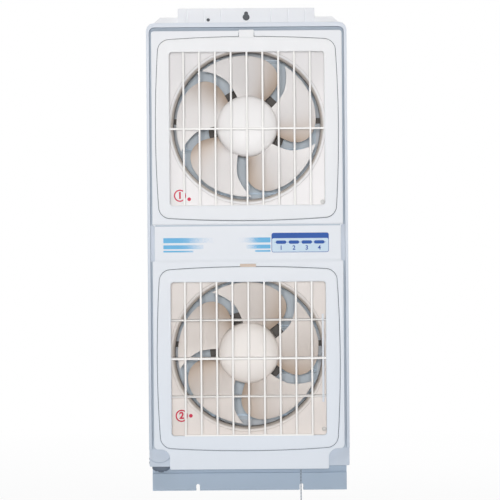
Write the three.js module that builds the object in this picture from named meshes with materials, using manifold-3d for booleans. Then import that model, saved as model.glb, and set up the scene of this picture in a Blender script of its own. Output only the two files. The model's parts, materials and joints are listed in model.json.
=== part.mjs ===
// Twin window fan: a tall panel with two 200 mm propeller fans, one above the other,
// that stands in a sliding window on a rail bracket and is switched by a pull cord.
//
// Millimetres, +Z up. The room side (front) faces -Y and +X is to the right of a person
// who looks at it. The origin is the middle of the foot that rests on the window rail.

import * as THREE from 'three';
import { mergeVertices } from 'three/addons/utils/BufferGeometryUtils.js';
import Module from 'manifold-3d';

const wasm = await Module();
wasm.setup();

// ---------------------------------------------------------------- driving dimensions

const FIT = 0.3;                    // gap between pieces that touch or turn in each other

// propellers set the size of all that is round them
const TIP_R = 100;
const TIP_GAP = 4;                  // blade tips to throat
const FAN_RISE = 6;                 // fan axis above the middle of its grille

// bottom bracket, which carries the casing
const BRACKET_HEIGHT = 36.4;

// grilles: the opening is a little larger than the propeller
const OPENING_WIDTH = 2 * TIP_R + 16;
const OPENING_HEIGHT = 2 * TIP_R + 14;
const OPENING_CORNER_R = 4;
const GRILLE_SIDE = 19.25;          // frame beside the opening
const GRILLE_END = 21;              // frame above and below it
const GRILLE_WIDTH = OPENING_WIDTH + 2 * GRILLE_SIDE;
const GRILLE_HEIGHT = OPENING_HEIGHT + 2 * GRILLE_END;
const GRILLE_BOW = 3.5;             // how far each edge swells at its middle
const GRILLE_CORNER_R = 16;
const GRILLE_PROUD = 2.4;           // grille face in front of the panel face
const GRILLE_DEPTH = 5.6;
const GRILLE_EDGE_R = 1.4;
const BAR_COUNT = 9;
const BAR_PITCH = (OPENING_WIDTH + 5) / (BAR_COUNT + 1);
const BAR_WIDTH = 2.8;
const BAR_DEPTH = 3.6;
const BAR_SETBACK = 0.9;            // bars behind the grille face
const TAB_WIDTH = 21;
const TAB_GAP = 0.6;
const FINGER_SLOT_HEIGHT = 4.2;
const LABEL_BAND = 65;              // from one grille to the other

// front panel: the moulded cover with both grille openings
const PANEL_FRONT_Y = -50;
const PANEL_WALL = 2.5;
const PANEL_SIDE = 5.75;            // panel beside the grilles
const PANEL_HEAD = 8.7;             // panel above the upper grille
const PANEL_HALF = GRILLE_WIDTH / 2 + PANEL_SIDE;
const WAIST_STEP = 3;
const WAIST_HALF = PANEL_HALF - WAIST_STEP;  // half width beside the label band
const SKIRT_HALF = PANEL_HALF - 22; // half width below the shoulders
const SHOULDER_R = 12;
const WAIST_R = 1.4;
const PANEL_EDGE_R = 0.9;
const PANEL_CORNER_R = 6;
const WINDOW_SIDE = 10;             // panel's window beyond the grille opening, each side
const WINDOW_END = 12;              // the same at the top and bottom
const WINDOW_CORNER_R = 3;
const SEAM = 0.8;                   // open line between grille and panel

// front frame: the open tray that faces the room
const FRAME_SIDE = 7;               // frame beside the panel
const FRAME_HEAD = 11.6;            // frame above the panel
const HALF_FRAME = PANEL_HALF + FRAME_SIDE;
const FRAME_FRONT_Y = -48;
const FRAME_DEPTH = 54;
const FRAME_CORNER_R = 11;
const SIDE_RIM = 4;                 // wall seen at the sides
const TOP_RIM = 6.3;                // wall seen at the top
const FLOOR_SETBACK = 9.5;          // tray floor behind the rim
const FLOOR_WALL = 2.5;

// heights, from the bracket up
const FRAME_BOTTOM_Z = BRACKET_HEIGHT + FIT;
const GRILLE_FOOT_Z = FRAME_BOTTOM_Z + 22.9;
const LOWER_GRILLE_Z = GRILLE_FOOT_Z + GRILLE_HEIGHT / 2;
const UPPER_GRILLE_Z = LOWER_GRILLE_Z + GRILLE_HEIGHT + LABEL_BAND;
const SKIRT_BOTTOM_Z = FRAME_BOTTOM_Z - 3.4;
const SHOULDER_Z = GRILLE_FOOT_Z + 1.9;
const WAIST_BOTTOM_Z = LOWER_GRILLE_Z + GRILLE_HEIGHT / 2 + 8.4;
const WAIST_TOP_Z = UPPER_GRILLE_Z - GRILLE_HEIGHT / 2 - 6.6;
const PANEL_TOP_Z = UPPER_GRILLE_Z + GRILLE_HEIGHT / 2 + PANEL_HEAD;
const FRAME_TOP_Z = PANEL_TOP_Z + FRAME_HEAD;

// propeller fans
const HUB_R = 43;
const HUB_FRONT_Y = -8;
const HUB_DEPTH = 30;
const HUB_WALL = 2.2;
const HUB_CROWN = 7;                // how far the domed cap stands proud
const HUB_BOSS_R = 8;
const BLADES = 5;
const BLADE_THICKNESS = 2.2;
const BLADE_FRONT_Y = -4;           // forward edge of a blade
const BLADE_REAR_Y = 20;            // rear edge of a blade
const UPPER_GAP_DEG = 47.6;         // one gap between blades, from +X towards +Z
const LOWER_GAP_DEG = 39.4;

// orifice box: the shroud with the bell mouth round each propeller
const MOUTH_R = TIP_R + TIP_GAP;    // throat round the blade tips
const MOUTH_FLARE = 5;
const ORIFICE_HALF = MOUTH_R + MOUTH_FLARE + 9;
const ORIFICE_WALL = 2;
const ORIFICE_PLATE_Y = -6;
const THROAT_END_Y = 14;

// motors
const MOTOR_R = 36;
const MOTOR_FRONT_Y = 30;
const MOTOR_SPLIT_Y = 50;
const MOTOR_BACK_Y = 70;
const MOTOR_WALL = 2;
const MOTOR_LIP = 5;                // clamping rim where the two shells meet
const SHAFT_R = 4;
const BEARING_R = 8;
const BEARING_LENGTH = 8;
const ROTOR_R = 18;
const STATOR_BORE_GAP = 0.6;
const STAY_WALL = 2;
const STAY_DISC_R = 56;
const STAY_DISC_RISE = 2;           // disc centre above the fan axis
const STAY_DISC_DROP = 37;          // flat lower edge of the disc below the fan axis
const STAY_STRAP = 8;
const STAY_STRAP_RISE = 10.4;       // strap above the fan axis

// rear housing and its shutters, out of doors
const HOUSING_HALF = ORIFICE_HALF + 10;
const HOUSING_BOTTOM_Z = FRAME_BOTTOM_Z + 13.3;
const HOUSING_TOP_Z = FRAME_TOP_Z - 6.9;
const HOUSING_DEPTH = 80;
const HOUSING_WALL = 2.5;
const HOUSING_CORNER_R = 8;
const PORT = 2 * TIP_R;             // square outlet of each fan
const SLATS = 3;
const SLAT_WALL = 1.6;
const SLAT_FRAME_DEPTH = 14;
const SLAT_AXIS_SETBACK = 4.5;       // slat axes behind the frame's flange
const SLAT_TOP_GAP = 3;             // first axis below the top of the port
const SLAT_FRAME_WALL = 2;
const SLAT_FRAME_LIP = 8;           // flange outside the port
const SLAT_COVER = 2;               // flange over the ends and the foot of the slats
const SLAT_PIN_R = 1.6;
const LINK_WIDTH = 4.4;
const LINK_WALL = 1.8;
const LINK_PIN_R = 1.2;
const LINK_BACK = 5;                // link pins behind the slat axes
const LINK_DROP = 14;               // and below them
const LINK_SPACE = 6;               // room for the link beside the slats

// air vanes behind the lower grille
const VANES = 3;
const VANE_AXIS_Y = -28;
const VANE_FRONT = 14;
const VANE_BACK = 15;
const VANE_WALL = 2;
const VANE_PIN_R = 1.8;
const ROD_X = OPENING_WIDTH / 2 - 4;
const ROD_SIZE = 2.6;
const ROD_ARM = 12;                 // rod pins in front of the vane axes
const ROD_PIN_R = 0.9;
const ROD_OVERRUN = 8;

// brackets
const BRACKET_WIDTH = 2 * HALF_FRAME - 6;
const BRACKET_FACE_Y = FRAME_FRONT_Y + FRAME_DEPTH - 15;
const BRACKET_WALL = 2;
const BRACKET_FACE_HEIGHT = 22.5;
const BRACKET_STEP = 3;
const FOOT_DEPTH = 18;
const BRACKET_SLOT_X = 73;
const BRACKET_SLOT_WIDTH = 5.2;
const BRACKET_SLOT_HEIGHT = 9.2;
const TOP_RAIL_HEIGHT = 9.5;
const TOP_RAIL_HALF = HALF_FRAME - 9;
const TOP_RAIL_CHAMFER = 10;
const TOP_RAIL_DEPTH = 22;
const TOP_BRACKET_HALF = 96;
const TOP_BRACKET_HEIGHT = 21.6;
const TOP_BRACKET_Y = -30;
const TOP_BRACKET_WALL = 3;
const TOP_BRACKET_GROOVES = [35, 59, 83];
const KEYHOLE_R = 4.9;
const KEYHOLE_NECK_R = 2.9;
const KEYHOLE_RISE = 9.1;
const KEYHOLE_NECK_STEP = 5.3;
const KEYHOLE_POCKET = 8;           // room for a screw head behind the keyhole
const PILOT_HOLE_X = -53.3;

// clamp knob behind the lower left corner
const KNOB_X = 15.8 - HALF_FRAME;
const KNOB_Z = FRAME_BOTTOM_Z + 8.1;
const KNOB_R = 16.7;
const KNOB_THICKNESS = 12;
const KNOB_FLUTES = 10;
const STUD_R = 3;
const CORNER_POCKET_TOP_Z = KNOB_Z + KNOB_R + 2.5;

// pull switch and its cord
const CORD_X = HALF_FRAME - 68;
const CORD_Y = -28;
const CORD_D = 1.6;
const CORD_END_Z = -72;
const SWITCH_WIDTH = 30;
const SWITCH_BOTTOM_Z = FRAME_BOTTOM_Z + 11.3;
const SWITCH_HEIGHT = 24;
const SWITCH_DEPTH = 14;
const LEVER_ARM = 22;               // lever pivot to cord
const LEVER_THICKNESS = 4;
const LEVER_WIDTH = 7;
const LEVER_RISE = 6;               // lever pivot above the switch's bottom
const LEVER_PIN_R = 1.6;
const FORK_SLOT = 3.6;
const LEVER_ROOM = 12;              // how far the lever's slot reaches up the switch
const CORD_STOP_R = 3;
const CORD_KNOB_R = 6;
const CORD_KNOB_LENGTH = 24;
const GUIDE_HALF = 8;
const GUIDE_FLANGE = 2;
const EYELET_R = 4.2;
const EYELET_BORE_R = 1.8;
const EYELET_DROP = 2.4;            // eyelet below the frame

// other things behind the tray floor
const CAPACITOR_X = -44;
const CAPACITOR_LENGTH = 42;
const CAPACITOR_HEIGHT = 20;
const CAPACITOR_DEPTH = 18;
const TERMINAL_X = 8;
const TERMINAL_LENGTH = 32;
const TERMINAL_HEIGHT = 14;
const TERMINAL_DEPTH = 13;
const TERMINALS = 4;
const ELECTRIC_BOTTOM_Z = FRAME_BOTTOM_Z + 9.3;
const GLAND_X = CORD_X + 24;
const GLAND_Y = -18;
const GLAND_R = 5;
const GLAND_BORE_R = 3.2;

// facets of round faces: seen ones and small or hidden ones
const FINE = 28;
const COARSE = 14;
const SMALL = 8;

const SCREW_HEAD_R = 3.2;
const SCREW_HEAD_H = 1.6;
const SCREW_SHANK_R = 1.5;
const ORIFICE_SCREW_X = ORIFICE_HALF - 12;
const ORIFICE_SCREW_DROP = ORIFICE_HALF - 10;    // below the fan axis
const BOSS_R = 4;
const BRACKET_SCREW_X = 48;
const BRACKET_SCREW_Y = FRAME_FRONT_Y + FRAME_DEPTH - 5;
const CLIP_RISES = [45.3, 159.3, 276.3, 356.3, 476.3];  // above the frame's bottom

// ---------------------------------------------------------------- materials

const material = (color, roughness, metalness = 0) =>
  new THREE.MeshStandardMaterial({ color, roughness, metalness });

const WHITE = material(0xeef0f4, 0.42);
const FRAME_GREY = material(0xccd6e0, 0.45);
const IVORY = material(0xe6ded8, 0.48);
const GRILLE_WHITE = material(0xf8f7f5, 0.4);
const RAIL_BLUE = material(0xa5b6c8, 0.45, 0.2);
const SHUTTER_BLUE = material(0xa6b5c1, 0.5);
const DARK_STEEL = material(0x5a5f66, 0.5, 0.7);
const BRIGHT_STEEL = material(0xc2c6ca, 0.3, 0.9);
const BRONZE = material(0x9a7b4a, 0.4, 0.8);
const COPPER = material(0xa5602f, 0.45, 0.6);
const DARK_PLASTIC = material(0x3c4046, 0.55);
const CORD_GREY = material(0x9fa8b3, 0.8);

// ---------------------------------------------------------------- solids

/** A manifold solid of a closed geometry. */
function solid(geometry) {
  const bare = geometry.clone();
  bare.deleteAttribute('normal');
  bare.deleteAttribute('uv');
  const merged = mergeVertices(bare, 1e-4);
  return new wasm.Manifold(new wasm.Mesh({
    numProp: 3,
    vertProperties: new Float32Array(merged.attributes.position.array),
    triVerts: new Uint32Array(merged.index.array),
  }));
}

/** The geometry of a manifold solid. */
function geometryOf(manifold) {
  const mesh = manifold.getMesh();
  const geometry = new THREE.BufferGeometry();
  geometry.setAttribute('position', new THREE.BufferAttribute(mesh.vertProperties, 3));
  geometry.setIndex(new THREE.BufferAttribute(mesh.triVerts, 1));
  geometry.computeVertexNormals();
  return geometry;
}

const join = (first, ...rest) => rest.reduce((sum, next) => sum.add(next), first);
const cut = (first, ...rest) => rest.reduce((left, next) => left.subtract(next), first);

const object = new THREE.Group();

/** Adds one named piece. */
function piece(name, shape, look) {
  const geometry = shape.isBufferGeometry ? shape : geometryOf(shape);
  const mesh = new THREE.Mesh(geometry, look);
  mesh.name = name;
  object.add(mesh);
}

/** A box between two corners. */
function box(x0, x1, y0, y1, z0, z1) {
  const geometry = new THREE.BoxGeometry(x1 - x0, y1 - y0, z1 - z0);
  geometry.translate((x0 + x1) / 2, (y0 + y1) / 2, (z0 + z1) / 2);
  return solid(geometry);
}

/** A shape drawn in X and Z, as deep as depth, with its front face at frontY. */
function slab(shape, frontY, depth, edge = 0, curveSegments = 6) {
  const geometry = new THREE.ExtrudeGeometry(shape, {
    depth: depth - edge,
    curveSegments,
    steps: 1,
    bevelEnabled: edge > 0,
    bevelThickness: edge,
    bevelSize: edge,
    bevelOffset: -edge,
    bevelSegments: 1,
  });
  geometry.rotateX(Math.PI / 2);
  geometry.translate(0, frontY + depth, 0);
  if (edge === 0) return solid(geometry);
  // only the front edge is rounded: what the rear bevel adds is planed off
  const backY = frontY + depth;
  const far = 2 * FRAME_TOP_Z;
  return cut(solid(geometry), box(-far, far, backY, backY + 2 * edge, -far, far));
}

/** A profile drawn in Y and Z, swept along X from x0 to x1. */
function bar(shape, x0, x1, curveSegments = 6) {
  const geometry = new THREE.ExtrudeGeometry(shape, {
    depth: x1 - x0, curveSegments, steps: 1, bevelEnabled: false,
  });
  geometry.applyMatrix4(new THREE.Matrix4().makeBasis(
    new THREE.Vector3(0, 1, 0), new THREE.Vector3(0, 0, 1), new THREE.Vector3(1, 0, 0)));
  geometry.translate(x0, 0, 0);
  return solid(geometry);
}

/** A body turned about a line along Y at (x, z); the profile's points are [radius, y]. */
function turned(points, x, z, segments = COARSE) {
  const profile = points.map(([radius, y]) => new THREE.Vector2(radius, y));
  const geometry = new THREE.LatheGeometry(profile, segments);
  geometry.translate(x, 0, z);
  return solid(geometry);
}

/** A round pin along Y. */
const pinY = (x, z, radius, y0, y1, segments = SMALL) =>
  turned([[0, y0], [radius, y0], [radius, y1], [0, y1]], x, z, segments);

/** A round pin along X. */
function pinX(y, z, radius, x0, x1, segments = SMALL) {
  const geometry = new THREE.CylinderGeometry(radius, radius, x1 - x0, segments);
  geometry.rotateZ(Math.PI / 2);
  geometry.translate((x0 + x1) / 2, y, z);
  return solid(geometry);
}

/** A round pin along Z. */
const pinZ = (x, y, radius, z0, z1, segments = SMALL) =>
  upright([[0, z0], [radius, z0], [radius, z1], [0, z1]], x, y, segments);

/** A body turned about a line along Z at (x, y); the profile's points are [radius, z]. */
function upright(points, x, y, segments = COARSE) {
  const profile = points.map(([radius, z]) => new THREE.Vector2(radius, z));
  const geometry = new THREE.LatheGeometry(profile, segments);
  geometry.rotateX(Math.PI / 2);
  geometry.translate(x, y, 0);
  return solid(geometry);
}

/** A rectangle with round corners, in any plane. */
function roundedRect(u0, u1, v0, v1, radius) {
  const shape = new THREE.Shape();
  const r = Math.max(radius, 0.01);
  shape.moveTo(u0 + r, v0);
  shape.lineTo(u1 - r, v0);
  shape.absarc(u1 - r, v0 + r, r, -Math.PI / 2, 0);
  shape.lineTo(u1, v1 - r);
  shape.absarc(u1 - r, v1 - r, r, 0, Math.PI / 2);
  shape.lineTo(u0 + r, v1);
  shape.absarc(u0 + r, v1 - r, r, Math.PI / 2, Math.PI);
  shape.lineTo(u0, v0 + r);
  shape.absarc(u0 + r, v0 + r, r, Math.PI, 1.5 * Math.PI);
  return shape;
}

/** A closed outline through corners [u, v, fillet radius]. */
function filleted(corners, arcSteps = 3) {
  const points = [];
  corners.forEach(([u, v, radius], i) => {
    const here = new THREE.Vector2(u, v);
    const before = new THREE.Vector2(...corners.at(i - 1).slice(0, 2)).sub(here).normalize();
    const after = new THREE.Vector2(...corners[(i + 1) % corners.length].slice(0, 2))
      .sub(here).normalize();
    if (!radius) {
      points.push(here);
      return;
    }
    const half = before.angleTo(after) / 2;
    const reach = radius / Math.tan(half);
    const middle = before.clone().add(after).normalize().multiplyScalar(radius / Math.sin(half))
      .add(here);
    const start = before.clone().multiplyScalar(reach).add(here).sub(middle);
    const end = after.clone().multiplyScalar(reach).add(here).sub(middle);
    const from = start.angle();
    let sweep = end.angle() - from;
    if (sweep > Math.PI) sweep -= 2 * Math.PI;
    if (sweep < -Math.PI) sweep += 2 * Math.PI;
    for (let step = 0; step <= arcSteps; step += 1) {
      const angle = from + (sweep * step) / arcSteps;
      points.push(new THREE.Vector2(
        middle.x + radius * Math.cos(angle), middle.y + radius * Math.sin(angle)));
    }
  });
  return new THREE.Shape(points);
}

/** The swollen square of a grille frame, grown by a margin. */
function bowedSquare(centreZ, grow = 0) {
  const halfW = GRILLE_WIDTH / 2 - GRILLE_BOW + grow;
  const halfH = GRILLE_HEIGHT / 2 - GRILLE_BOW + grow;
  const r = GRILLE_CORNER_R + grow;
  const points = [];
  const sides = 4;
  for (let side = 0; side < sides; side += 1) {
    const along = side % 2 === 0 ? halfW : halfH;
    const out = side % 2 === 0 ? halfH : halfW;
    const turn = (side * Math.PI) / 2;
    const place = (u, v) => points.push(new THREE.Vector2(
      u * Math.cos(turn) - v * Math.sin(turn), u * Math.sin(turn) + v * Math.cos(turn)));
    const steps = 4;
    for (let i = 0; i <= steps; i += 1) {
      const t = -1 + (2 * i) / steps;
      const u = t * (along - r);
      place(u, -out - GRILLE_BOW * (1 - t * t));
    }
    const arc = 4;
    for (let i = 1; i < arc; i += 1) {
      const angle = -Math.PI / 2 + (Math.PI / 2) * (i / arc);
      place(along - r + r * Math.cos(angle), -out + r + r * Math.sin(angle));
    }
  }
  return new THREE.Shape(points.map((p) => new THREE.Vector2(p.x, p.y + centreZ)));
}

const FAN_SPECS = [
  { side: 'upper', grilleZ: UPPER_GRILLE_Z, axisZ: UPPER_GRILLE_Z + FAN_RISE, gap: UPPER_GAP_DEG },
  { side: 'lower', grilleZ: LOWER_GRILLE_Z, axisZ: LOWER_GRILLE_Z + FAN_RISE, gap: LOWER_GAP_DEG },
];

const FRAME_BACK_Y = FRAME_FRONT_Y + FRAME_DEPTH;
const FLOOR_Y = FRAME_FRONT_Y + FLOOR_SETBACK;
const FLOOR_BACK_Y = FLOOR_Y + FLOOR_WALL;
const HOUSING_FRONT_Y = FRAME_BACK_Y + FIT;
const HOUSING_BACK_Y = FRAME_BACK_Y + HOUSING_DEPTH;

const BRACKET_TOP_Z = BRACKET_HEIGHT;
const BRACKET_SCREWS = [-BRACKET_SCREW_X, BRACKET_SCREW_X].map((x) => [x, BRACKET_SCREW_Y]);

// ---------------------------------------------------------------- front frame

function frontFrame() {
  const outline = filleted([
    [-HALF_FRAME, FRAME_BOTTOM_Z, 2], [HALF_FRAME, FRAME_BOTTOM_Z, 2],
    [HALF_FRAME, FRAME_TOP_Z, FRAME_CORNER_R], [-HALF_FRAME, FRAME_TOP_Z, FRAME_CORNER_R],
  ]);
  const shell = slab(outline, FRAME_FRONT_Y, FRAME_DEPTH);
  const inner = HALF_FRAME - SIDE_RIM;
  const innerTop = FRAME_TOP_Z - TOP_RIM;
  const bay = filleted([
    [-inner, FRAME_BOTTOM_Z - 1, 0], [inner, FRAME_BOTTOM_Z - 1, 0],
    [inner, innerTop, FRAME_CORNER_R - SIDE_RIM], [-inner, innerTop, FRAME_CORNER_R - SIDE_RIM],
  ]);
  const front = slab(bay, FRAME_FRONT_Y - 1, FLOOR_SETBACK + 1);
  // the lower corners lie open down to the floor, without a rim beside them
  const corners = [-1, 1].map((side) => {
    const far = side * (HALF_FRAME + 1);
    const near = side * (inner - 1);
    return box(Math.min(far, near), Math.max(far, near), FRAME_FRONT_Y - 1, FLOOR_Y,
      FRAME_BOTTOM_Z - 1, SHOULDER_Z);
  });
  const back = slab(filleted([
    [-inner, FRAME_BOTTOM_Z + SIDE_RIM, 3], [inner, FRAME_BOTTOM_Z + SIDE_RIM, 3],
    [inner, innerTop, 6], [-inner, innerTop, 6],
  ]), FLOOR_BACK_Y, FRAME_DEPTH);
  const windows = FAN_SPECS.map(({ axisZ }) => box(
    -ORIFICE_HALF + ORIFICE_WALL, ORIFICE_HALF - ORIFICE_WALL,
    FLOOR_Y - 1, FLOOR_BACK_Y + 1,
    axisZ - ORIFICE_HALF + ORIFICE_WALL, axisZ + ORIFICE_HALF - ORIFICE_WALL));
  // open pocket behind the lower left corner, for the clamp knob
  const pocket = box(-HALF_FRAME - 1, KNOB_X + KNOB_R + 2, FLOOR_BACK_Y,
    FRAME_BACK_Y + 1,
    FRAME_BOTTOM_Z - 1, CORNER_POCKET_TOP_Z);
  // seats of the cord guide and the mains gland in the bottom wall
  const guideSeat = box(CORD_X - GUIDE_HALF, CORD_X + GUIDE_HALF, CORD_Y - GUIDE_HALF + 1,
    CORD_Y + GUIDE_HALF - 1, FRAME_BOTTOM_Z - 1, FRAME_BOTTOM_Z + SIDE_RIM + 1);
  const glandSeat = pinZ(GLAND_X, GLAND_Y, GLAND_R, FRAME_BOTTOM_Z - 1,
    FRAME_BOTTOM_Z + SIDE_RIM + 1, COARSE);
  const screwHoles = BRACKET_SCREWS.map(([x, y]) => pinZ(x, y, SCREW_SHANK_R + FIT,
    FRAME_BOTTOM_Z - 1, FRAME_BOTTOM_Z + SIDE_RIM + 1));
  const clips = CLIP_RISES.flatMap((rise) => [-1, 1].map((side) => {
    const z = FRAME_BOTTOM_Z + rise;
    const edge = side * HALF_FRAME;
    return box(Math.min(edge, edge - side), Math.max(edge, edge - side), FRAME_FRONT_Y + 3,
      FRAME_FRONT_Y + 20, z - 2, z + 2);
  }));
  const rimSlot = box(-3, 3, FRAME_FRONT_Y - 1, FRAME_FRONT_Y + 2, FRAME_TOP_Z - 1.2,
    FRAME_TOP_Z + 1);
  // a fine round groove marks the corner over the knob
  const grooveR = KNOB_R + 3;
  const groove = turned([[grooveR - 0.8, FLOOR_Y - 1], [grooveR, FLOOR_Y - 1],
    [grooveR, FLOOR_Y + 0.6], [grooveR - 0.8, FLOOR_Y + 0.6], [grooveR - 0.8, FLOOR_Y - 1]],
  KNOB_X - 2, SHOULDER_Z, FINE).intersect(box(-HALF_FRAME, -SKIRT_HALF, FLOOR_Y - 2,
    FLOOR_Y + 1, FRAME_BOTTOM_Z, SHOULDER_Z - 1));
  return cut(shell, front, ...corners, back, ...windows, pocket, guideSeat, glandSeat,
    ...screwHoles, ...clips, rimSlot, groove);
}

// ---------------------------------------------------------------- front panel

const panelOutline = (inset = 0) => filleted([
  [-SKIRT_HALF + inset, SKIRT_BOTTOM_Z + inset, 2],
  [SKIRT_HALF - inset, SKIRT_BOTTOM_Z + inset, 2],
  [SKIRT_HALF - inset, SHOULDER_Z + inset, SHOULDER_R + inset],
  [PANEL_HALF - inset, SHOULDER_Z + inset, PANEL_CORNER_R - inset],
  [PANEL_HALF - inset, WAIST_BOTTOM_Z - inset, WAIST_R],
  [WAIST_HALF - inset, WAIST_BOTTOM_Z - inset, WAIST_R],
  [WAIST_HALF - inset, WAIST_TOP_Z + inset, WAIST_R],
  [PANEL_HALF - inset, WAIST_TOP_Z + inset, WAIST_R],
  [PANEL_HALF - inset, PANEL_TOP_Z - inset, 4],
  [-PANEL_HALF + inset, PANEL_TOP_Z - inset, 4],
  [-PANEL_HALF + inset, WAIST_TOP_Z + inset, WAIST_R],
  [-WAIST_HALF + inset, WAIST_TOP_Z + inset, WAIST_R],
  [-WAIST_HALF + inset, WAIST_BOTTOM_Z - inset, WAIST_R],
  [-PANEL_HALF + inset, WAIST_BOTTOM_Z - inset, WAIST_R],
  [-PANEL_HALF + inset, SHOULDER_Z + inset, PANEL_CORNER_R - inset],
  [-SKIRT_HALF + inset, SHOULDER_Z + inset, SHOULDER_R + inset],
]);

const PANEL_BACK_Y = FLOOR_Y - FIT;
const GRILLE_FRONT_Y = PANEL_FRONT_Y - GRILLE_PROUD;
const GRILLE_BACK_Y = GRILLE_FRONT_Y + GRILLE_DEPTH;

function frontPanel() {
  const body = slab(panelOutline(), PANEL_FRONT_Y, PANEL_BACK_Y - PANEL_FRONT_Y,
    PANEL_EDGE_R);
  const hollow = slab(panelOutline(PANEL_WALL), PANEL_FRONT_Y + PANEL_WALL, FRAME_DEPTH);
  const shell = cut(body, hollow);
  const ledgeY = GRILLE_BACK_Y + FIT;
  const seats = FAN_SPECS.map(({ grilleZ }) =>
    slab(bowedSquare(grilleZ, SEAM + PANEL_WALL), PANEL_FRONT_Y + 1, ledgeY + PANEL_WALL
      - PANEL_FRONT_Y - 1));
  const recesses = FAN_SPECS.map(({ grilleZ }) =>
    slab(bowedSquare(grilleZ, SEAM), PANEL_FRONT_Y - 5, ledgeY - PANEL_FRONT_Y + 5));
  const windowW = OPENING_WIDTH / 2 + WINDOW_SIDE;
  const windowH = OPENING_HEIGHT / 2 + WINDOW_END;
  const holes = FAN_SPECS.map(({ grilleZ }) => slab(roundedRect(-windowW, windowW,
    grilleZ - windowH, grilleZ + windowH, WINDOW_CORNER_R), PANEL_FRONT_Y - 5, FRAME_DEPTH, 0, 3));
  const limit = slab(panelOutline(), PANEL_FRONT_Y, PANEL_BACK_Y - PANEL_FRONT_Y);
  const seated = join(shell, ...seats.map((seat) => seat.intersect(limit)));
  const tabHalf = TAB_WIDTH / 2 + TAB_GAP;
  const upperTop = UPPER_GRILLE_Z + GRILLE_HEIGHT / 2;
  const lowerTop = LOWER_GRILLE_Z + GRILLE_HEIGHT / 2;
  const tabNotch = box(-tabHalf, tabHalf, PANEL_FRONT_Y - 5, GRILLE_BACK_Y + FIT,
    upperTop - 2, PANEL_TOP_Z + 5);
  const fingerSlot = box(-tabHalf, tabHalf, PANEL_FRONT_Y - 5, GRILLE_BACK_Y + FIT,
    lowerTop - 2, lowerTop + FINGER_SLOT_HEIGHT);
  return cut(seated, ...recesses, ...holes, tabNotch, fingerSlot);
}

// ---------------------------------------------------------------- grilles

function grille({ side, grilleZ }) {
  const rim = slab(bowedSquare(grilleZ), GRILLE_FRONT_Y, GRILLE_DEPTH, GRILLE_EDGE_R);
  const halfW = OPENING_WIDTH / 2;
  const halfH = OPENING_HEIGHT / 2;
  const opening = slab(roundedRect(-halfW, halfW, grilleZ - halfH, grilleZ + halfH,
    OPENING_CORNER_R), GRILLE_FRONT_Y - 5, GRILLE_DEPTH + 10, 0, 3);
  const y0 = GRILLE_FRONT_Y + BAR_SETBACK;
  const reach = halfH + 2;
  const bars = [];
  for (let i = 0; i < BAR_COUNT; i += 1) {
    const x = (i - (BAR_COUNT - 1) / 2) * BAR_PITCH;
    bars.push(slab(roundedRect(x - BAR_WIDTH / 2, x + BAR_WIDTH / 2, grilleZ - reach,
      grilleZ + reach, 0), y0, BAR_DEPTH, 0, 1));
  }
  const cross = bar(roundedRect(y0 + 0.4, y0 + BAR_DEPTH - 0.4, grilleZ - BAR_WIDTH / 2,
    grilleZ + BAR_WIDTH / 2, 0), -halfW - 2, halfW + 2, 1);
  let body = join(cut(rim, opening), ...bars, cross);
  if (side === 'upper') {
    // finger tab that fills the notch in the panel's top edge
    const top = grilleZ + GRILLE_HEIGHT / 2;
    body = join(body, box(-TAB_WIDTH / 2, TAB_WIDTH / 2, GRILLE_FRONT_Y + 1, GRILLE_BACK_Y,
      top - 3, PANEL_TOP_Z + 1.2));
  } else {
    // over the sill the bars end in a low comb
    const sill = grilleZ - halfH;
    const span = ((BAR_COUNT - 1) / 2) * BAR_PITCH + BAR_WIDTH / 2;
    body = join(body, box(-span, span, GRILLE_FRONT_Y + 0.4, GRILLE_FRONT_Y + 2,
      sill - 1.2, sill + 1.2));
  }
  return body;
}

// ---------------------------------------------------------------- orifice boxes

function orifice({ side, axisZ }) {
  const outer = ORIFICE_HALF;
  const inner = ORIFICE_HALF - ORIFICE_WALL;
  const frontY = FLOOR_BACK_Y + FIT;
  const backY = ORIFICE_PLATE_Y + ORIFICE_WALL;
  const shell = cut(
    slab(roundedRect(-outer, outer, axisZ - outer, axisZ + outer, 4), frontY, backY - frontY, 0, 3),
    box(-inner, inner, frontY - 1, ORIFICE_PLATE_Y, axisZ - inner, axisZ + inner));
  const mouthOuter = MOUTH_R + MOUTH_FLARE;
  const wall = ORIFICE_WALL;
  // the flare runs from the throat out to the front of the lip
  const flare = [];
  const arcSteps = 3;
  for (let i = 0; i <= arcSteps; i += 1) {
    const angle = (Math.PI / 2) * (i / arcSteps);
    flare.push([mouthOuter - MOUTH_FLARE * Math.cos(angle),
      ORIFICE_PLATE_Y - 2 + (MOUTH_FLARE + 2) * (1 - Math.sin(angle))]);
  }
  const mouth = turned([
    [MOUTH_R, THROAT_END_Y], ...flare, [mouthOuter + wall, ORIFICE_PLATE_Y - 2],
    [mouthOuter + wall, backY - 1], [MOUTH_R + wall, backY + 1.5],
    [MOUTH_R + wall, THROAT_END_Y], [MOUTH_R, THROAT_END_Y],
  ], 0, axisZ, FINE);
  const hole = pinY(0, axisZ, mouthOuter + wall / 2, frontY - 1, backY + 1, FINE);
  const pinHoles = side === 'lower' ? vaneAxes().flatMap((z) => [-outer - 1, inner - 1].map((x) =>
    pinX(VANE_AXIS_Y, z, VANE_PIN_R + FIT, x, x + ORIFICE_WALL + 2))) : [];
  const bossZ = axisZ - ORIFICE_SCREW_DROP;
  const boss = pinY(ORIFICE_SCREW_X, bossZ, BOSS_R, backY - 1, HOUSING_FRONT_Y - FIT);
  const screwHole = pinY(ORIFICE_SCREW_X, bossZ, SCREW_SHANK_R + FIT, ORIFICE_PLATE_Y - 1,
    HOUSING_FRONT_Y + 1);
  return cut(join(cut(shell, hole), mouth, boss), screwHole, ...pinHoles);
}

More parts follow.
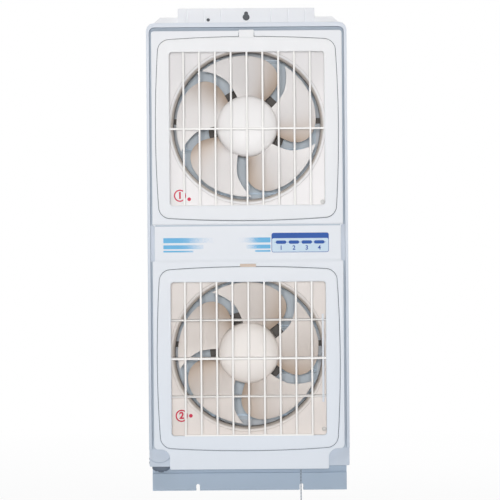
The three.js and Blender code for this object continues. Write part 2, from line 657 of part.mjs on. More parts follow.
/** The screw in the lower right corner of an orifice box. */
function orificeScrew({ axisZ }) {
  const x = ORIFICE_SCREW_X;
  const z = axisZ - ORIFICE_SCREW_DROP;
  const headBack = ORIFICE_PLATE_Y - FIT;
  return turned([[0, headBack - SCREW_HEAD_H], [SCREW_HEAD_R * 0.7, headBack - SCREW_HEAD_H],
    [SCREW_HEAD_R, headBack], [SCREW_SHANK_R, headBack], [SCREW_SHANK_R, HOUSING_FRONT_Y + 9],
    [0, HOUSING_FRONT_Y + 9]], x, z, SMALL);
}

// ---------------------------------------------------------------- air vanes

/** Heights of the vane axes: they share the lower opening into equal parts. */
function vaneAxes() {
  const pitch = OPENING_HEIGHT / (VANES + 1);
  const sill = LOWER_GRILLE_Z - OPENING_HEIGHT / 2;
  return Array.from({ length: VANES }, (_, i) => sill + pitch * (VANES - i));
}

function vane(z) {
  const half = ORIFICE_HALF - ORIFICE_WALL - 1;
  const profile = filleted([
    [VANE_AXIS_Y - VANE_FRONT, z - VANE_WALL / 2, 0.9], [VANE_AXIS_Y, z - VANE_WALL / 2 - 0.8, 0],
    [VANE_AXIS_Y + VANE_BACK, z - VANE_WALL / 2 + 0.4, 0.5],
    [VANE_AXIS_Y + VANE_BACK, z + VANE_WALL / 2 - 0.4, 0.5],
    [VANE_AXIS_Y, z + VANE_WALL / 2 + 0.8, 0], [VANE_AXIS_Y - VANE_FRONT, z + VANE_WALL / 2, 0.9],
  ], 2);
  const blade = bar(profile, -half, half);
  const pinEnd = ORIFICE_HALF - 0.3;
  const pins = pinX(VANE_AXIS_Y, z, VANE_PIN_R, -pinEnd, pinEnd);
  const notchHalf = ROD_SIZE / 2 + 0.8;
  const notch = box(ROD_X - notchHalf, ROD_X + notchHalf, VANE_AXIS_Y - VANE_FRONT - 1,
    VANE_AXIS_Y - ROD_ARM + ROD_SIZE + 2, z - 5, z + 5);
  const rodPin = pinX(VANE_AXIS_Y - ROD_ARM, z, ROD_PIN_R, ROD_X - notchHalf - 1,
    ROD_X + notchHalf + 1, 8);
  return join(cut(blade, notch), pins, rodPin);
}

function vaneRod() {
  const y = VANE_AXIS_Y - ROD_ARM;
  const axes = vaneAxes();
  const half = ROD_SIZE / 2;
  const stem = box(ROD_X - half, ROD_X + half, y - half, y + half,
    axes.at(-1) - ROD_OVERRUN, axes[0] + ROD_OVERRUN);
  const eyes = axes.map((z) => pinX(y, z, ROD_PIN_R + 1.5, ROD_X - half, ROD_X + half, 8));
  const holes = axes.map((z) => pinX(y, z, ROD_PIN_R + FIT, ROD_X - half - 1, ROD_X + half + 1, 8));
  return cut(join(stem, ...eyes), ...holes);
}

// ---------------------------------------------------------------- propellers

/** Angle on a blade edge at a radius, from [radius, degrees] knots. */
function edgeAngle(knots, radius) {
  let i = 0;
  while (i < knots.length - 2 && radius > knots[i + 1][0]) i += 1;
  const [r0, a0] = knots[i];
  const [r1, a1] = knots[i + 1];
  return a0 + ((a1 - a0) * (radius - r0)) / (r1 - r0);
}

// edges of a blade against the gap beside it: the lobe leads, the point trails
const LOBE_EDGE = [[40, 8], [60, 5], [72, 6], [82, 9.5], [90, 15], [95, 21.5], [98, 29], [100, 42]];
const POINT_EDGE = [[40, 60], [60, 64], [70, 66.5], [80, 71], [90, 76], [100, 81.5]];
const BLADE_ROWS = [41, 58, 72, 84, 92, 97, 100];
const CHORD_STEPS = 4;

/** A sickle blade as one closed grid: front skin, rear skin and its edges. */
function sickleBlade(gapDeg, index, axisZ) {
  const rows = BLADE_ROWS.map((percent) => HUB_R - 2
    + ((TIP_R - HUB_R + 2) * (percent - BLADE_ROWS[0])) / (100 - BLADE_ROWS[0]));
  const positions = [];
  const skin = (offset) => {
    rows.forEach((radius, row) => {
      const from = edgeAngle(LOBE_EDGE, BLADE_ROWS[row]);
      const to = edgeAngle(POINT_EDGE, BLADE_ROWS[row]);
      for (let i = 0; i <= CHORD_STEPS; i += 1) {
        const s = i / CHORD_STEPS;
        const angle = THREE.MathUtils.degToRad(gapDeg + index * (360 / BLADES) + from
          + (to - from) * s);
        const span = BLADE_REAR_Y - BLADE_FRONT_Y;
        const whole = (from + (to - from) * s - 5) / 72;
        const camber = 3 * Math.sin(Math.PI * Math.min(Math.max(whole, 0), 1));
        const taper = 1 - 0.45 * ((radius - HUB_R) / (TIP_R - HUB_R));
        const y = BLADE_REAR_Y - span * Math.min(Math.max(whole, 0), 1.06) - camber
          + offset * BLADE_THICKNESS * taper;
        positions.push(radius * Math.cos(angle), y, axisZ + radius * Math.sin(angle));
      }
    });
  };
  skin(-0.5);
  skin(0.5);
  const across = CHORD_STEPS + 1;
  const half = rows.length * across;
  const faces = [];
  const quad = (a, b, c, d) => faces.push(a, b, c, a, c, d);
  for (let row = 0; row < rows.length - 1; row += 1) {
    for (let i = 0; i < CHORD_STEPS; i += 1) {
      const a = row * across + i;
      quad(a, a + across, a + across + 1, a + 1);
      quad(half + a, half + a + 1, half + a + across + 1, half + a + across);
    }
    const left = row * across;
    const right = left + CHORD_STEPS;
    quad(left, half + left, half + left + across, left + across);
    quad(right, right + across, half + right + across, half + right);
  }
  for (let i = 0; i < CHORD_STEPS; i += 1) {
    const inner = i;
    const outer = (rows.length - 1) * across + i;
    quad(inner, inner + 1, half + inner + 1, half + inner);
    quad(outer, half + outer, half + outer + 1, outer + 1);
  }
  const geometry = new THREE.BufferGeometry();
  geometry.setAttribute('position', new THREE.Float32BufferAttribute(positions, 3));
  geometry.setIndex(faces);
  return solid(geometry);
}

/** Profile of the hub's outside, from the middle of its cap to its rear rim. */
function hubCap() {
  const points = [[0, HUB_FRONT_Y]];
  const steps = 3;
  for (let i = 1; i <= steps; i += 1) {
    const angle = (Math.PI / 2) * (i / steps);
    points.push([HUB_R * Math.sin(angle) ** 0.8, HUB_FRONT_Y + HUB_CROWN * (1 - Math.cos(angle))]);
  }
  return points;
}

function propeller({ gap, axisZ }) {
  const back = HUB_FRONT_Y + HUB_DEPTH;
  const cap = hubCap();
  const inside = HUB_R - HUB_WALL;
  const under = HUB_FRONT_Y + HUB_CROWN + HUB_WALL;
  const hub = turned([
    ...cap, [HUB_R + 1, back], [inside, back], [inside - 2, under + 3], [inside - 8, under],
    [HUB_BOSS_R, under], [HUB_BOSS_R, back + 2], [0, back + 2],
  ], 0, axisZ, FINE);
  const blades = Array.from({ length: BLADES }, (_, i) => sickleBlade(gap, i, axisZ));
  const bore = pinY(0, axisZ, SHAFT_R + FIT, under - 2, back + 3, SMALL);
  // the blades' roots end at the wall of the hub
  const core = pinY(0, axisZ, inside - 1, under, back + 5, FINE);
  const post = pinY(0, axisZ, HUB_BOSS_R, under - 1, back + 2, COARSE);
  return cut(join(cut(join(hub, ...blades), core), post), bore);
}

// ---------------------------------------------------------------- motors

const SHAFT_FRONT_Y = HUB_FRONT_Y + HUB_CROWN + HUB_WALL;
const FRONT_BEARING_Y = MOTOR_FRONT_Y + MOTOR_WALL + FIT;
const REAR_BEARING_Y = MOTOR_BACK_Y - MOTOR_WALL - FIT - BEARING_LENGTH;
const ROTOR_MID_Y = (MOTOR_FRONT_Y + MOTOR_BACK_Y) / 2;
const ROTOR_LENGTH = REAR_BEARING_Y - FRONT_BEARING_Y - BEARING_LENGTH - 2 * FIT;

function shaft({ axisZ }) {
  return pinY(0, axisZ, SHAFT_R, SHAFT_FRONT_Y, MOTOR_BACK_Y - MOTOR_WALL - 2 * FIT, SMALL);
}

function rotor({ axisZ }) {
  const y0 = ROTOR_MID_Y - ROTOR_LENGTH / 2;
  const y1 = ROTOR_MID_Y + ROTOR_LENGTH / 2;
  const bore = SHAFT_R + FIT;
  return turned([[bore, y0], [ROTOR_R - 3, y0], [ROTOR_R, y0 + 2], [ROTOR_R, y1 - 2],
    [ROTOR_R - 3, y1], [bore, y1], [bore, y0]], 0, axisZ, COARSE);
}

function stator({ axisZ }) {
  const y0 = ROTOR_MID_Y - ROTOR_LENGTH / 2 + 1;
  const y1 = ROTOR_MID_Y + ROTOR_LENGTH / 2 - 1;
  const bore = ROTOR_R + STATOR_BORE_GAP;
  const outer = MOTOR_R - MOTOR_WALL - FIT;
  return turned([[bore, y0], [outer, y0], [outer, y1], [bore, y1], [bore, y0]], 0, axisZ, COARSE);
}

function bearing({ axisZ }, y) {
  const bore = SHAFT_R + FIT;
  return turned([[bore, y], [BEARING_R, y], [BEARING_R, y + BEARING_LENGTH],
    [bore, y + BEARING_LENGTH], [bore, y]], 0, axisZ, SMALL);
}

/** One drawn motor shell: a cup with a bearing housing and a rim for the clamping screws. */
function motorShell({ axisZ }, closedY, openY) {
  const way = Math.sign(openY - closedY);
  const wall = way * MOTOR_WALL;
  const seat = BEARING_R + FIT;
  const seatEnd = closedY + wall + way * (BEARING_LENGTH - 1);
  const mouth = SHAFT_R + 1;
  const profile = [
    [mouth, closedY], [MOTOR_R - 5, closedY], [MOTOR_R, closedY + way * 5],
    [MOTOR_R, openY - wall], [MOTOR_R + MOTOR_LIP, openY - wall], [MOTOR_R + MOTOR_LIP, openY],
    [MOTOR_R - MOTOR_WALL, openY], [MOTOR_R - MOTOR_WALL, closedY + way * 6],
    [MOTOR_R - 6, closedY + wall], [seat + 2, closedY + wall], [seat + 2, seatEnd],
    [seat, seatEnd], [seat, closedY + wall], [mouth, closedY + wall], [mouth, closedY],
  ];
  return turned(way > 0 ? profile : profile.reverse(), 0, axisZ, COARSE);
}

function motorStay({ axisZ }) {
  const half = HOUSING_HALF - HOUSING_WALL - FIT;
  const y0 = MOTOR_BACK_Y + FIT;
  const tab = 12;
  const discZ = axisZ + STAY_DISC_RISE;
  const disc = pinY(0, discZ, STAY_DISC_R, y0, y0 + STAY_WALL, FINE).intersect(
    box(-STAY_DISC_R, STAY_DISC_R, y0 - 1, y0 + STAY_WALL + 1, axisZ - STAY_DISC_DROP,
      discZ + STAY_DISC_R));
  const z0 = axisZ + STAY_STRAP_RISE - STAY_STRAP / 2;
  const z1 = z0 + STAY_STRAP;
  const strap = box(-half, half, y0, y0 + STAY_WALL, z0, z1);
  const tabs = [-1, 1].map((side) => {
    const outer = side * half;
    const inner = side * (half - STAY_WALL);
    return box(Math.min(outer, inner), Math.max(outer, inner), y0 - tab, y0 + STAY_WALL, z0, z1);
  });
  const eye = pinY(0, axisZ, SHAFT_R + 4, y0 - 1, y0 + STAY_WALL + 1);
  return cut(join(disc, strap, ...tabs), eye);
}

// ---------------------------------------------------------------- rear housing and shutters

function rearHousing() {
  const outer = slab(roundedRect(-HOUSING_HALF, HOUSING_HALF, HOUSING_BOTTOM_Z, HOUSING_TOP_Z,
    HOUSING_CORNER_R), HOUSING_FRONT_Y, HOUSING_BACK_Y - HOUSING_FRONT_Y, 0, 4);
  const w = HOUSING_WALL;
  const inner = slab(roundedRect(-HOUSING_HALF + w, HOUSING_HALF - w, HOUSING_BOTTOM_Z + w,
    HOUSING_TOP_Z - w, HOUSING_CORNER_R - w), HOUSING_FRONT_Y - 1,
  HOUSING_BACK_Y - w - HOUSING_FRONT_Y + 1, 0, 4);
  const ports = FAN_SPECS.map(({ axisZ }) => box(-PORT / 2, PORT / 2, HOUSING_BACK_Y - w - 1,
    HOUSING_BACK_Y + 1, axisZ - PORT / 2, axisZ + PORT / 2));
  // divider between the two air ways
  const middle = (FAN_SPECS[0].axisZ + FAN_SPECS[1].axisZ) / 2;
  const divider = box(-HOUSING_HALF + w / 2, HOUSING_HALF - w / 2, HOUSING_FRONT_Y,
    HOUSING_BACK_Y - w / 2, middle - w / 2, middle + w / 2);
  // flange against the back of the front frame
  const flange = cut(
    slab(roundedRect(-HALF_FRAME + 1, HALF_FRAME - 1, FRAME_BOTTOM_Z + 1, FRAME_TOP_Z - 1,
      FRAME_CORNER_R), HOUSING_FRONT_Y, w, 0, 3),
    slab(roundedRect(-HOUSING_HALF + 1, HOUSING_HALF - 1, HOUSING_BOTTOM_Z + 1,
      HOUSING_TOP_Z - 1, HOUSING_CORNER_R), HOUSING_FRONT_Y - 1, w + 2, 0, 3),
    pinY(KNOB_X, KNOB_Z, STUD_R + FIT, HOUSING_FRONT_Y - 1, HOUSING_FRONT_Y + w + 1));
  // lugs that the orifice screws bite into
  const lugs = FAN_SPECS.map(({ axisZ }) => {
    const z = axisZ - ORIFICE_SCREW_DROP;
    return cut(
      box(ORIFICE_SCREW_X - BOSS_R - 1, HOUSING_HALF - w / 2, HOUSING_FRONT_Y,
        HOUSING_FRONT_Y + 12, z - BOSS_R - 1, z + BOSS_R + 1),
      pinY(ORIFICE_SCREW_X, z, SCREW_SHANK_R + FIT, HOUSING_FRONT_Y - 1, HOUSING_FRONT_Y + 10));
  });
  return join(cut(outer, inner, ...ports), divider, flange, ...lugs);
}

const SHUTTER_Y = HOUSING_BACK_Y + FIT;

function shutterFrame({ axisZ }) {
  const half = PORT / 2;
  const rim = half + SLAT_FRAME_LIP;
  const w = SLAT_FRAME_WALL;
  const flange = slab(roundedRect(-rim, rim, axisZ - rim, axisZ + rim, 4), SHUTTER_Y, w, 0, 2);
  const collar = slab(roundedRect(-half - w, half + w, axisZ - half - w, axisZ + half + w, 2),
    SHUTTER_Y, SLAT_FRAME_DEPTH, 0, 1);
  // the flange laps over the slats' ends, the link and the lowest slat's foot
  const way = box(-half, half, SHUTTER_Y + w, SHUTTER_Y + SLAT_FRAME_DEPTH + 1, axisZ - half,
    axisZ + half);
  const mouth = box(SLAT_LEFT + SLAT_COVER, half - SLAT_COVER, SHUTTER_Y - 1, SHUTTER_Y + w + 1,
    axisZ - half + 2.5 * SLAT_COVER, axisZ + half);
  const holes = slatAxes(axisZ).map((z) => pinX(SLAT_AXIS_Y, z, SLAT_PIN_R + FIT,
    -half - w - 1, half + w + 1, 8));
  return cut(join(flange, collar), way, mouth, ...holes);
}

const SLAT_AXIS_Y = SHUTTER_Y + SLAT_AXIS_SETBACK;
const SLAT_PITCH = (PORT - 2 * SLAT_TOP_GAP) / SLATS;
const SLAT_LEFT = -PORT / 2 + 1 + LINK_SPACE;

/** Heights of the slat axes, from the top down. */
function slatAxes(axisZ) {
  const top = axisZ + PORT / 2 - SLAT_TOP_GAP;
  return Array.from({ length: SLATS }, (_, i) => top - i * SLAT_PITCH);
}

function shutterSlat(z) {
  const right = PORT / 2 - 1;
  const y = SLAT_AXIS_Y;
  const t = SLAT_WALL;
  const kick = SLAT_PIN_R + 0.6;    // the lower lip clears the barrel of the next slat
  const body = bar(filleted([
    [y - t / 2, z - SLAT_PITCH + 6, 0], [y + t / 2 + kick, z - SLAT_PITCH + 1, 0],
    [y + t / 2 + kick + t, z - SLAT_PITCH + 1, 0], [y + t / 2, z - SLAT_PITCH + 10, 0],
    [y + t / 2, z + 1.6, 0.5], [y - t / 2, z + 1.6, 0.5],
  ], 2), SLAT_LEFT, right);
  const barrel = pinX(y, z, SLAT_PIN_R + 0.6, SLAT_LEFT, right, 8);
  const pinEnd = PORT / 2 + SLAT_FRAME_WALL - FIT;
  const pins = pinX(y, z, SLAT_PIN_R, -pinEnd, pinEnd, 8);
  const ear = box(SLAT_LEFT, SLAT_LEFT + 1.6, y, y + LINK_BACK + 2, z - LINK_DROP - 2.4,
    z - LINK_DROP + 2.4);
  const linkPin = pinX(y + LINK_BACK, z - LINK_DROP, LINK_PIN_R,
    SLAT_LEFT - LINK_SPACE + 1, SLAT_LEFT + 1, 8);
  return join(body, barrel, pins, ear, linkPin);
}

/** The strip that makes the slats of one shutter swing together. */
function shutterLink({ axisZ }) {
  const y = SLAT_AXIS_Y + LINK_BACK;
  const pins = slatAxes(axisZ).map((z) => z - LINK_DROP);
  const x0 = SLAT_LEFT - LINK_SPACE + 1.2;
  const half = LINK_WIDTH / 2;
  const strip = box(x0, x0 + LINK_WALL, y - half, y + half, pins.at(-1) - half, pins[0] + half);
  const holes = pins.map((z) => pinX(y, z, LINK_PIN_R + FIT, x0 - 1, x0 + LINK_WALL + 1, 8));
  return cut(strip, ...holes);
}

// ---------------------------------------------------------------- brackets and knob

function bottomBracket() {
  const half = BRACKET_WIDTH / 2;
  const w = BRACKET_WALL;
  const face = BRACKET_FACE_Y;
  const stepped = face + BRACKET_STEP;
  // one folded sheet: foot, face, step and upper flange
  const profile = new THREE.Shape([
    [face, 0], [face + FOOT_DEPTH, 0], [face + FOOT_DEPTH, w], [face + w, w],
    [face + w, BRACKET_FACE_HEIGHT], [stepped + w, BRACKET_FACE_HEIGHT],
    [stepped + w, BRACKET_TOP_Z - w], [face + FOOT_DEPTH, BRACKET_TOP_Z - w],
    [face + FOOT_DEPTH, BRACKET_TOP_Z], [stepped, BRACKET_TOP_Z],
    [stepped, BRACKET_FACE_HEIGHT + w], [face, BRACKET_FACE_HEIGHT + w],
  ].map(([y, z]) => new THREE.Vector2(y, z)));
  const sheet = bar(profile, -half, half);
  const slots = [-1, 1].map((side) => {
    const x = side * BRACKET_SLOT_X;
    const r = BRACKET_SLOT_WIDTH / 2;
    return slab(filleted([
      [x - r, -1, 0], [x + r, -1, 0], [x + r, BRACKET_SLOT_HEIGHT, r - 0.1],
      [x - r, BRACKET_SLOT_HEIGHT, r - 0.1],
    ], 4), face - 1, FOOT_DEPTH + 2);
  });
  const screwHoles = BRACKET_SCREWS.map(([x, y]) => pinZ(x, y, SCREW_SHANK_R + FIT,
    BRACKET_TOP_Z - w - 1, BRACKET_TOP_Z + 1));
  return cut(sheet, ...slots, ...screwHoles);
}

/** A screw from below, through the bracket's upper flange into the frame. */
function bracketScrew([x, y]) {
  const under = BRACKET_TOP_Z - BRACKET_WALL - FIT;
  const head = pinZ(x, y, SCREW_HEAD_R, under - SCREW_HEAD_H, under);
  const shank = pinZ(x, y, SCREW_SHANK_R, under - 1, FRAME_BOTTOM_Z + SIDE_RIM - 0.5);
  return join(head, shank);
}

function topRail() {
  const y0 = TOP_BRACKET_Y + TOP_BRACKET_WALL + FIT;
  const rail = slab(filleted([
    [-TOP_RAIL_HALF, FRAME_TOP_Z + FIT, 0], [TOP_RAIL_HALF, FRAME_TOP_Z + FIT, 0],
    [TOP_RAIL_HALF - TOP_RAIL_CHAMFER, FRAME_TOP_Z + TOP_RAIL_HEIGHT, 2],
    [-TOP_RAIL_HALF + TOP_RAIL_CHAMFER, FRAME_TOP_Z + TOP_RAIL_HEIGHT, 2],
  ], 3), y0, TOP_RAIL_DEPTH);
  const pocket = pinY(0, FRAME_TOP_Z + KEYHOLE_RISE, KEYHOLE_R + 1.5, y0 - 1,
    y0 + KEYHOLE_POCKET, COARSE);
  return cut(rail, pocket);
}

function topBracket() {
  const z0 = FRAME_TOP_Z + FIT;
  const z1 = FRAME_TOP_Z + TOP_BRACKET_HEIGHT;
  const plate = slab(roundedRect(-TOP_BRACKET_HALF, TOP_BRACKET_HALF, z0, z1, 0.5),
    TOP_BRACKET_Y, TOP_BRACKET_WALL, 0, 1);
  const grooves = TOP_BRACKET_GROOVES.flatMap((x) => [-x, x]).map((x) =>
    box(x - 1, x + 1, TOP_BRACKET_Y - 1, TOP_BRACKET_Y + 1, z0 - 1, z1 + 1));
  const keyZ = FRAME_TOP_Z + KEYHOLE_RISE;
  const round = pinY(0, keyZ, KEYHOLE_R, TOP_BRACKET_Y - 1, TOP_BRACKET_Y + 10, COARSE);
  const neck = pinY(0, keyZ + KEYHOLE_NECK_STEP, KEYHOLE_NECK_R, TOP_BRACKET_Y - 1,
    TOP_BRACKET_Y + 10);
  const pilot = pinY(PILOT_HOLE_X, FRAME_TOP_Z + 5.6, 2.5, TOP_BRACKET_Y - 1, TOP_BRACKET_Y + 10);
  return cut(plate, ...grooves, round, neck, pilot);
}

const KNOB_FRONT_Y = FLOOR_BACK_Y + 2;

function clampKnob() {
  const back = KNOB_FRONT_Y + KNOB_THICKNESS;
  const disc = turned([[0, KNOB_FRONT_Y], [KNOB_R - 1.5, KNOB_FRONT_Y],
    [KNOB_R, KNOB_FRONT_Y + 1.5], [KNOB_R, back - 1], [KNOB_R - 1, back], [0, back]],
  KNOB_X, KNOB_Z, FINE);
  const flutes = Array.from({ length: KNOB_FLUTES }, (_, i) => {
    const angle = (2 * Math.PI * i) / KNOB_FLUTES;
    return pinY(KNOB_X + (KNOB_R + 0.6) * Math.cos(angle), KNOB_Z + (KNOB_R + 0.6) * Math.sin(angle),
      1.5, KNOB_FRONT_Y + 2.5, back + 1, 6);
  });
  const stud = pinY(KNOB_X, KNOB_Z, STUD_R, back - 1, HOUSING_FRONT_Y + HOUSING_WALL + 8);
  return join(cut(disc, ...flutes), stud);
}

// ---------------------------------------------------------------- pull switch

const BEHIND_FLOOR_Y = FLOOR_BACK_Y + FIT;
const LEVER_X = CORD_X - LEVER_ARM;
const LEVER_Z = SWITCH_BOTTOM_Z + LEVER_RISE;
const LEVER_TOP_Z = LEVER_Z + LEVER_THICKNESS / 2;

function switchBody() {
  const x1 = CORD_X - CORD_STOP_R - 3;
  const x0 = x1 - SWITCH_WIDTH;
  const block = box(x0, x1, BEHIND_FLOOR_Y, BEHIND_FLOOR_Y + SWITCH_DEPTH, SWITCH_BOTTOM_Z,
    SWITCH_BOTTOM_Z + SWITCH_HEIGHT);
  const slot = box(LEVER_X - LEVER_THICKNESS - 1, x1 + 1, CORD_Y - LEVER_WIDTH / 2 - FIT,
    CORD_Y + LEVER_WIDTH / 2 + FIT, SWITCH_BOTTOM_Z - 1, SWITCH_BOTTOM_Z + LEVER_ROOM);
  const pinHole = pinY(LEVER_X, LEVER_Z, LEVER_PIN_R + FIT, CORD_Y - LEVER_WIDTH,
    CORD_Y + LEVER_WIDTH);
  return cut(block, slot, pinHole);
}

function switchLever() {
  const half = LEVER_THICKNESS / 2;
  const end = CORD_X + FORK_SLOT / 2 + 2;
  const arm = box(LEVER_X, end, CORD_Y - LEVER_WIDTH / 2, CORD_Y + LEVER_WIDTH / 2,
    LEVER_Z - half, LEVER_Z + half);
  const round = pinY(LEVER_X, LEVER_Z, half + 1, CORD_Y - LEVER_WIDTH / 2,
    CORD_Y + LEVER_WIDTH / 2);
  const pin = pinY(LEVER_X, LEVER_Z, LEVER_PIN_R, CORD_Y - LEVER_WIDTH + FIT,
    CORD_Y + LEVER_WIDTH - FIT);
  const slot = box(CORD_X - FORK_SLOT / 2 - 1.4, end + 1, CORD_Y - FORK_SLOT / 2,
    CORD_Y + FORK_SLOT / 2, LEVER_Z - half - 1, LEVER_Z + half + 1);
  return cut(join(arm, round, pin), slot);
}

/** The plate and eyelet that the cord runs down through. */
function cordGuide() {
  const half = GUIDE_HALF - FIT;
  const z0 = FRAME_BOTTOM_Z;
  const plate = box(CORD_X - half, CORD_X + half, CORD_Y - half + 1, CORD_Y + half - 1, z0,
    z0 + SIDE_RIM);
  const collar = box(CORD_X - half - GUIDE_FLANGE, CORD_X + half + GUIDE_FLANGE, CORD_Y - half + 1,
    CORD_Y + half - 1, z0 + SIDE_RIM + FIT, z0 + SIDE_RIM + FIT + GUIDE_FLANGE);
  const neck = box(CORD_X - half, CORD_X + half, CORD_Y - half + 1, CORD_Y + half - 1,
    z0 + SIDE_RIM - 1, z0 + SIDE_RIM + FIT + 1);
  const eyelet = pinZ(CORD_X, CORD_Y, EYELET_R, z0 - EYELET_DROP, z0 + 1, COARSE);
  const bore = pinZ(CORD_X, CORD_Y, EYELET_BORE_R, z0 - EYELET_DROP - 1, z0 + SIDE_RIM + 5);
  return cut(join(plate, neck, collar, eyelet), bore);
}

/** The crimped ball that rests in the lever's fork. */
function cordStop() {
  const ball = new THREE.SphereGeometry(CORD_STOP_R, SMALL, 8);
  ball.translate(CORD_X, CORD_Y, LEVER_TOP_Z + CORD_STOP_R + FIT);
  return solid(ball);
}

// the cord hangs straight down from the stop to the knob
const CORD_ROUTE = [
  [CORD_X, CORD_Y, LEVER_TOP_Z],
  [CORD_X, CORD_Y, CORD_END_Z],
];
const CORD_SIDES = 8;

function pullCord() {
  const section = new THREE.Shape(Array.from({ length: CORD_SIDES }, (_, i) => {
    const angle = (2 * Math.PI * i) / CORD_SIDES;
    return new THREE.Vector2(Math.cos(angle), Math.sin(angle)).multiplyScalar(CORD_D / 2);
  }));
  const [top, bottom] = CORD_ROUTE.map((p) => new THREE.Vector3(...p));
  const steps = Math.round(top.distanceTo(bottom) / (4 * CORD_D));
  return solid(new THREE.ExtrudeGeometry(section, {
    steps, bevelEnabled: false, extrudePath: new THREE.LineCurve3(top, bottom),
  }));
}

function cordKnob() {
  const top = CORD_END_Z - FIT;
  const length = CORD_KNOB_LENGTH;
  const profile = [[0, top - length], [CORD_KNOB_R - 1.5, top - length],
    [CORD_KNOB_R, top - length + 1.5], [CORD_KNOB_R - 0.6, top - length / 2],
    [CORD_KNOB_R - 3, top - 1.5], [CORD_KNOB_R - 3.8, top], [0, top]];
  return upright(profile, CORD_X, CORD_Y);
}

// ---------------------------------------------------------------- electric parts

function capacitor() {
  const half = CAPACITOR_LENGTH / 2;
  const z0 = ELECTRIC_BOTTOM_Z;
  const can = slab(roundedRect(CAPACITOR_X - half, CAPACITOR_X + half, z0,
    z0 + CAPACITOR_HEIGHT, 3), BEHIND_FLOOR_Y, CAPACITOR_DEPTH, 0, 2);
  const ear = box(CAPACITOR_X + half - 1, CAPACITOR_X + half + 8, BEHIND_FLOOR_Y,
    BEHIND_FLOOR_Y + 2, z0 + 4, z0 + CAPACITOR_HEIGHT - 4);
  return join(can, ear);
}

function terminalBlock() {
  const half = TERMINAL_LENGTH / 2;
  const z0 = ELECTRIC_BOTTOM_Z;
  const back = BEHIND_FLOOR_Y + TERMINAL_DEPTH;
  const block = box(TERMINAL_X - half, TERMINAL_X + half, BEHIND_FLOOR_Y, back, z0,
    z0 + TERMINAL_HEIGHT);
  const pitch = TERMINAL_LENGTH / TERMINALS;
  const wells = Array.from({ length: TERMINALS }, (_, i) =>
    pinY(TERMINAL_X - half + pitch * (i + 0.5), z0 + TERMINAL_HEIGHT / 2, 2.2, back - 4,
      back + 1));
  return cut(block, ...wells);
}

/** Open grommet for the mains lead. */
function mainsGland() {
  const z0 = FRAME_BOTTOM_Z - 2;
  const z1 = FRAME_BOTTOM_Z + SIDE_RIM + 2;
  const profile = [[GLAND_BORE_R, z0], [GLAND_R + 1.5, z0], [GLAND_R + 1.5, FRAME_BOTTOM_Z - FIT],
    [GLAND_R - FIT, FRAME_BOTTOM_Z - FIT], [GLAND_R - FIT, z1], [GLAND_BORE_R, z1],
    [GLAND_BORE_R, z0]];
  return upright(profile, GLAND_X, GLAND_Y);
}

// ---------------------------------------------------------------- assembly

piece('front_frame', frontFrame(), FRAME_GREY);
piece('front_panel', frontPanel(), WHITE);
piece('rear_housing', rearHousing(), SHUTTER_BLUE);
FAN_SPECS.forEach((fan) => {
  const { side, axisZ } = fan;
  piece(`${side}_grille`, grille(fan), GRILLE_WHITE);
  piece(`${side}_orifice`, orifice(fan), IVORY);
  piece(`${side}_propeller`, propeller(fan), IVORY);
  piece(`${side}_shaft`, shaft(fan), BRIGHT_STEEL);
  piece(`${side}_rotor`, rotor(fan), DARK_STEEL);
  piece(`${side}_stator`, stator(fan), COPPER);
  piece(`${side}_front_bearing`, bearing(fan, FRONT_BEARING_Y), BRONZE);
  piece(`${side}_rear_bearing`, bearing(fan, REAR_BEARING_Y), BRONZE);
  piece(`${side}_motor_front_shell`, motorShell(fan, MOTOR_FRONT_Y, MOTOR_SPLIT_Y), DARK_STEEL);
  piece(`${side}_motor_rear_shell`, motorShell(fan, MOTOR_BACK_Y, MOTOR_SPLIT_Y + FIT), DARK_STEEL);
  piece(`${side}_motor_stay`, motorStay(fan), DARK_STEEL);
  piece(`${side}_shutter_frame`, shutterFrame(fan), SHUTTER_BLUE);
  piece(`${side}_orifice_screw`, orificeScrew(fan), BRIGHT_STEEL);
  slatAxes(axisZ).forEach((z, i) => piece(`${side}_shutter_slat_${i + 1}`, shutterSlat(z),
    SHUTTER_BLUE));
  piece(`${side}_shutter_link`, shutterLink(fan), SHUTTER_BLUE);
});
vaneAxes().forEach((z, i) => piece(`air_vane_${i + 1}`, vane(z), GRILLE_WHITE));
piece('vane_rod', vaneRod(), GRILLE_WHITE);
piece('bottom_bracket', bottomBracket(), RAIL_BLUE);
piece('top_rail', topRail(), WHITE);
piece('top_bracket', topBracket(), WHITE);
piece('clamp_knob', clampKnob(), DARK_PLASTIC);
piece('left_bracket_screw', bracketScrew(BRACKET_SCREWS[0]), BRIGHT_STEEL);
piece('right_bracket_screw', bracketScrew(BRACKET_SCREWS[1]), BRIGHT_STEEL);
piece('pull_switch', switchBody(), DARK_PLASTIC);
piece('switch_lever', switchLever(), GRILLE_WHITE);
piece('cord_guide', cordGuide(), GRILLE_WHITE);
piece('cord_stop', cordStop(), BRIGHT_STEEL);
piece('pull_cord', pullCord(), CORD_GREY);
piece('cord_knob', cordKnob(), WHITE);
piece('run_capacitor', capacitor(), WHITE);
piece('terminal_block', terminalBlock(), DARK_PLASTIC);
piece('mains_gland', mainsGland(), DARK_PLASTIC);

export default object;
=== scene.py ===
# %% [markdown]
# # A twin window fan, dressed for its portrait
#
# The real object is a tall white window fan: two propellers, one above the other, behind
# barred grilles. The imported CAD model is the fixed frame, and this lesson gives each visible
# piece its real edges, curves and finish. Everything is in metres. The room side faces -Y,
# +X is to the right and +Z is up; the foot of the rail bracket rests at Z = 0.

# %% Load the frame
import json
import math

import bmesh
import bpy
import numpy as np
from mathutils import Matrix, Vector
from mathutils.geometry import delaunay_2d_cdt, tessellate_polygon

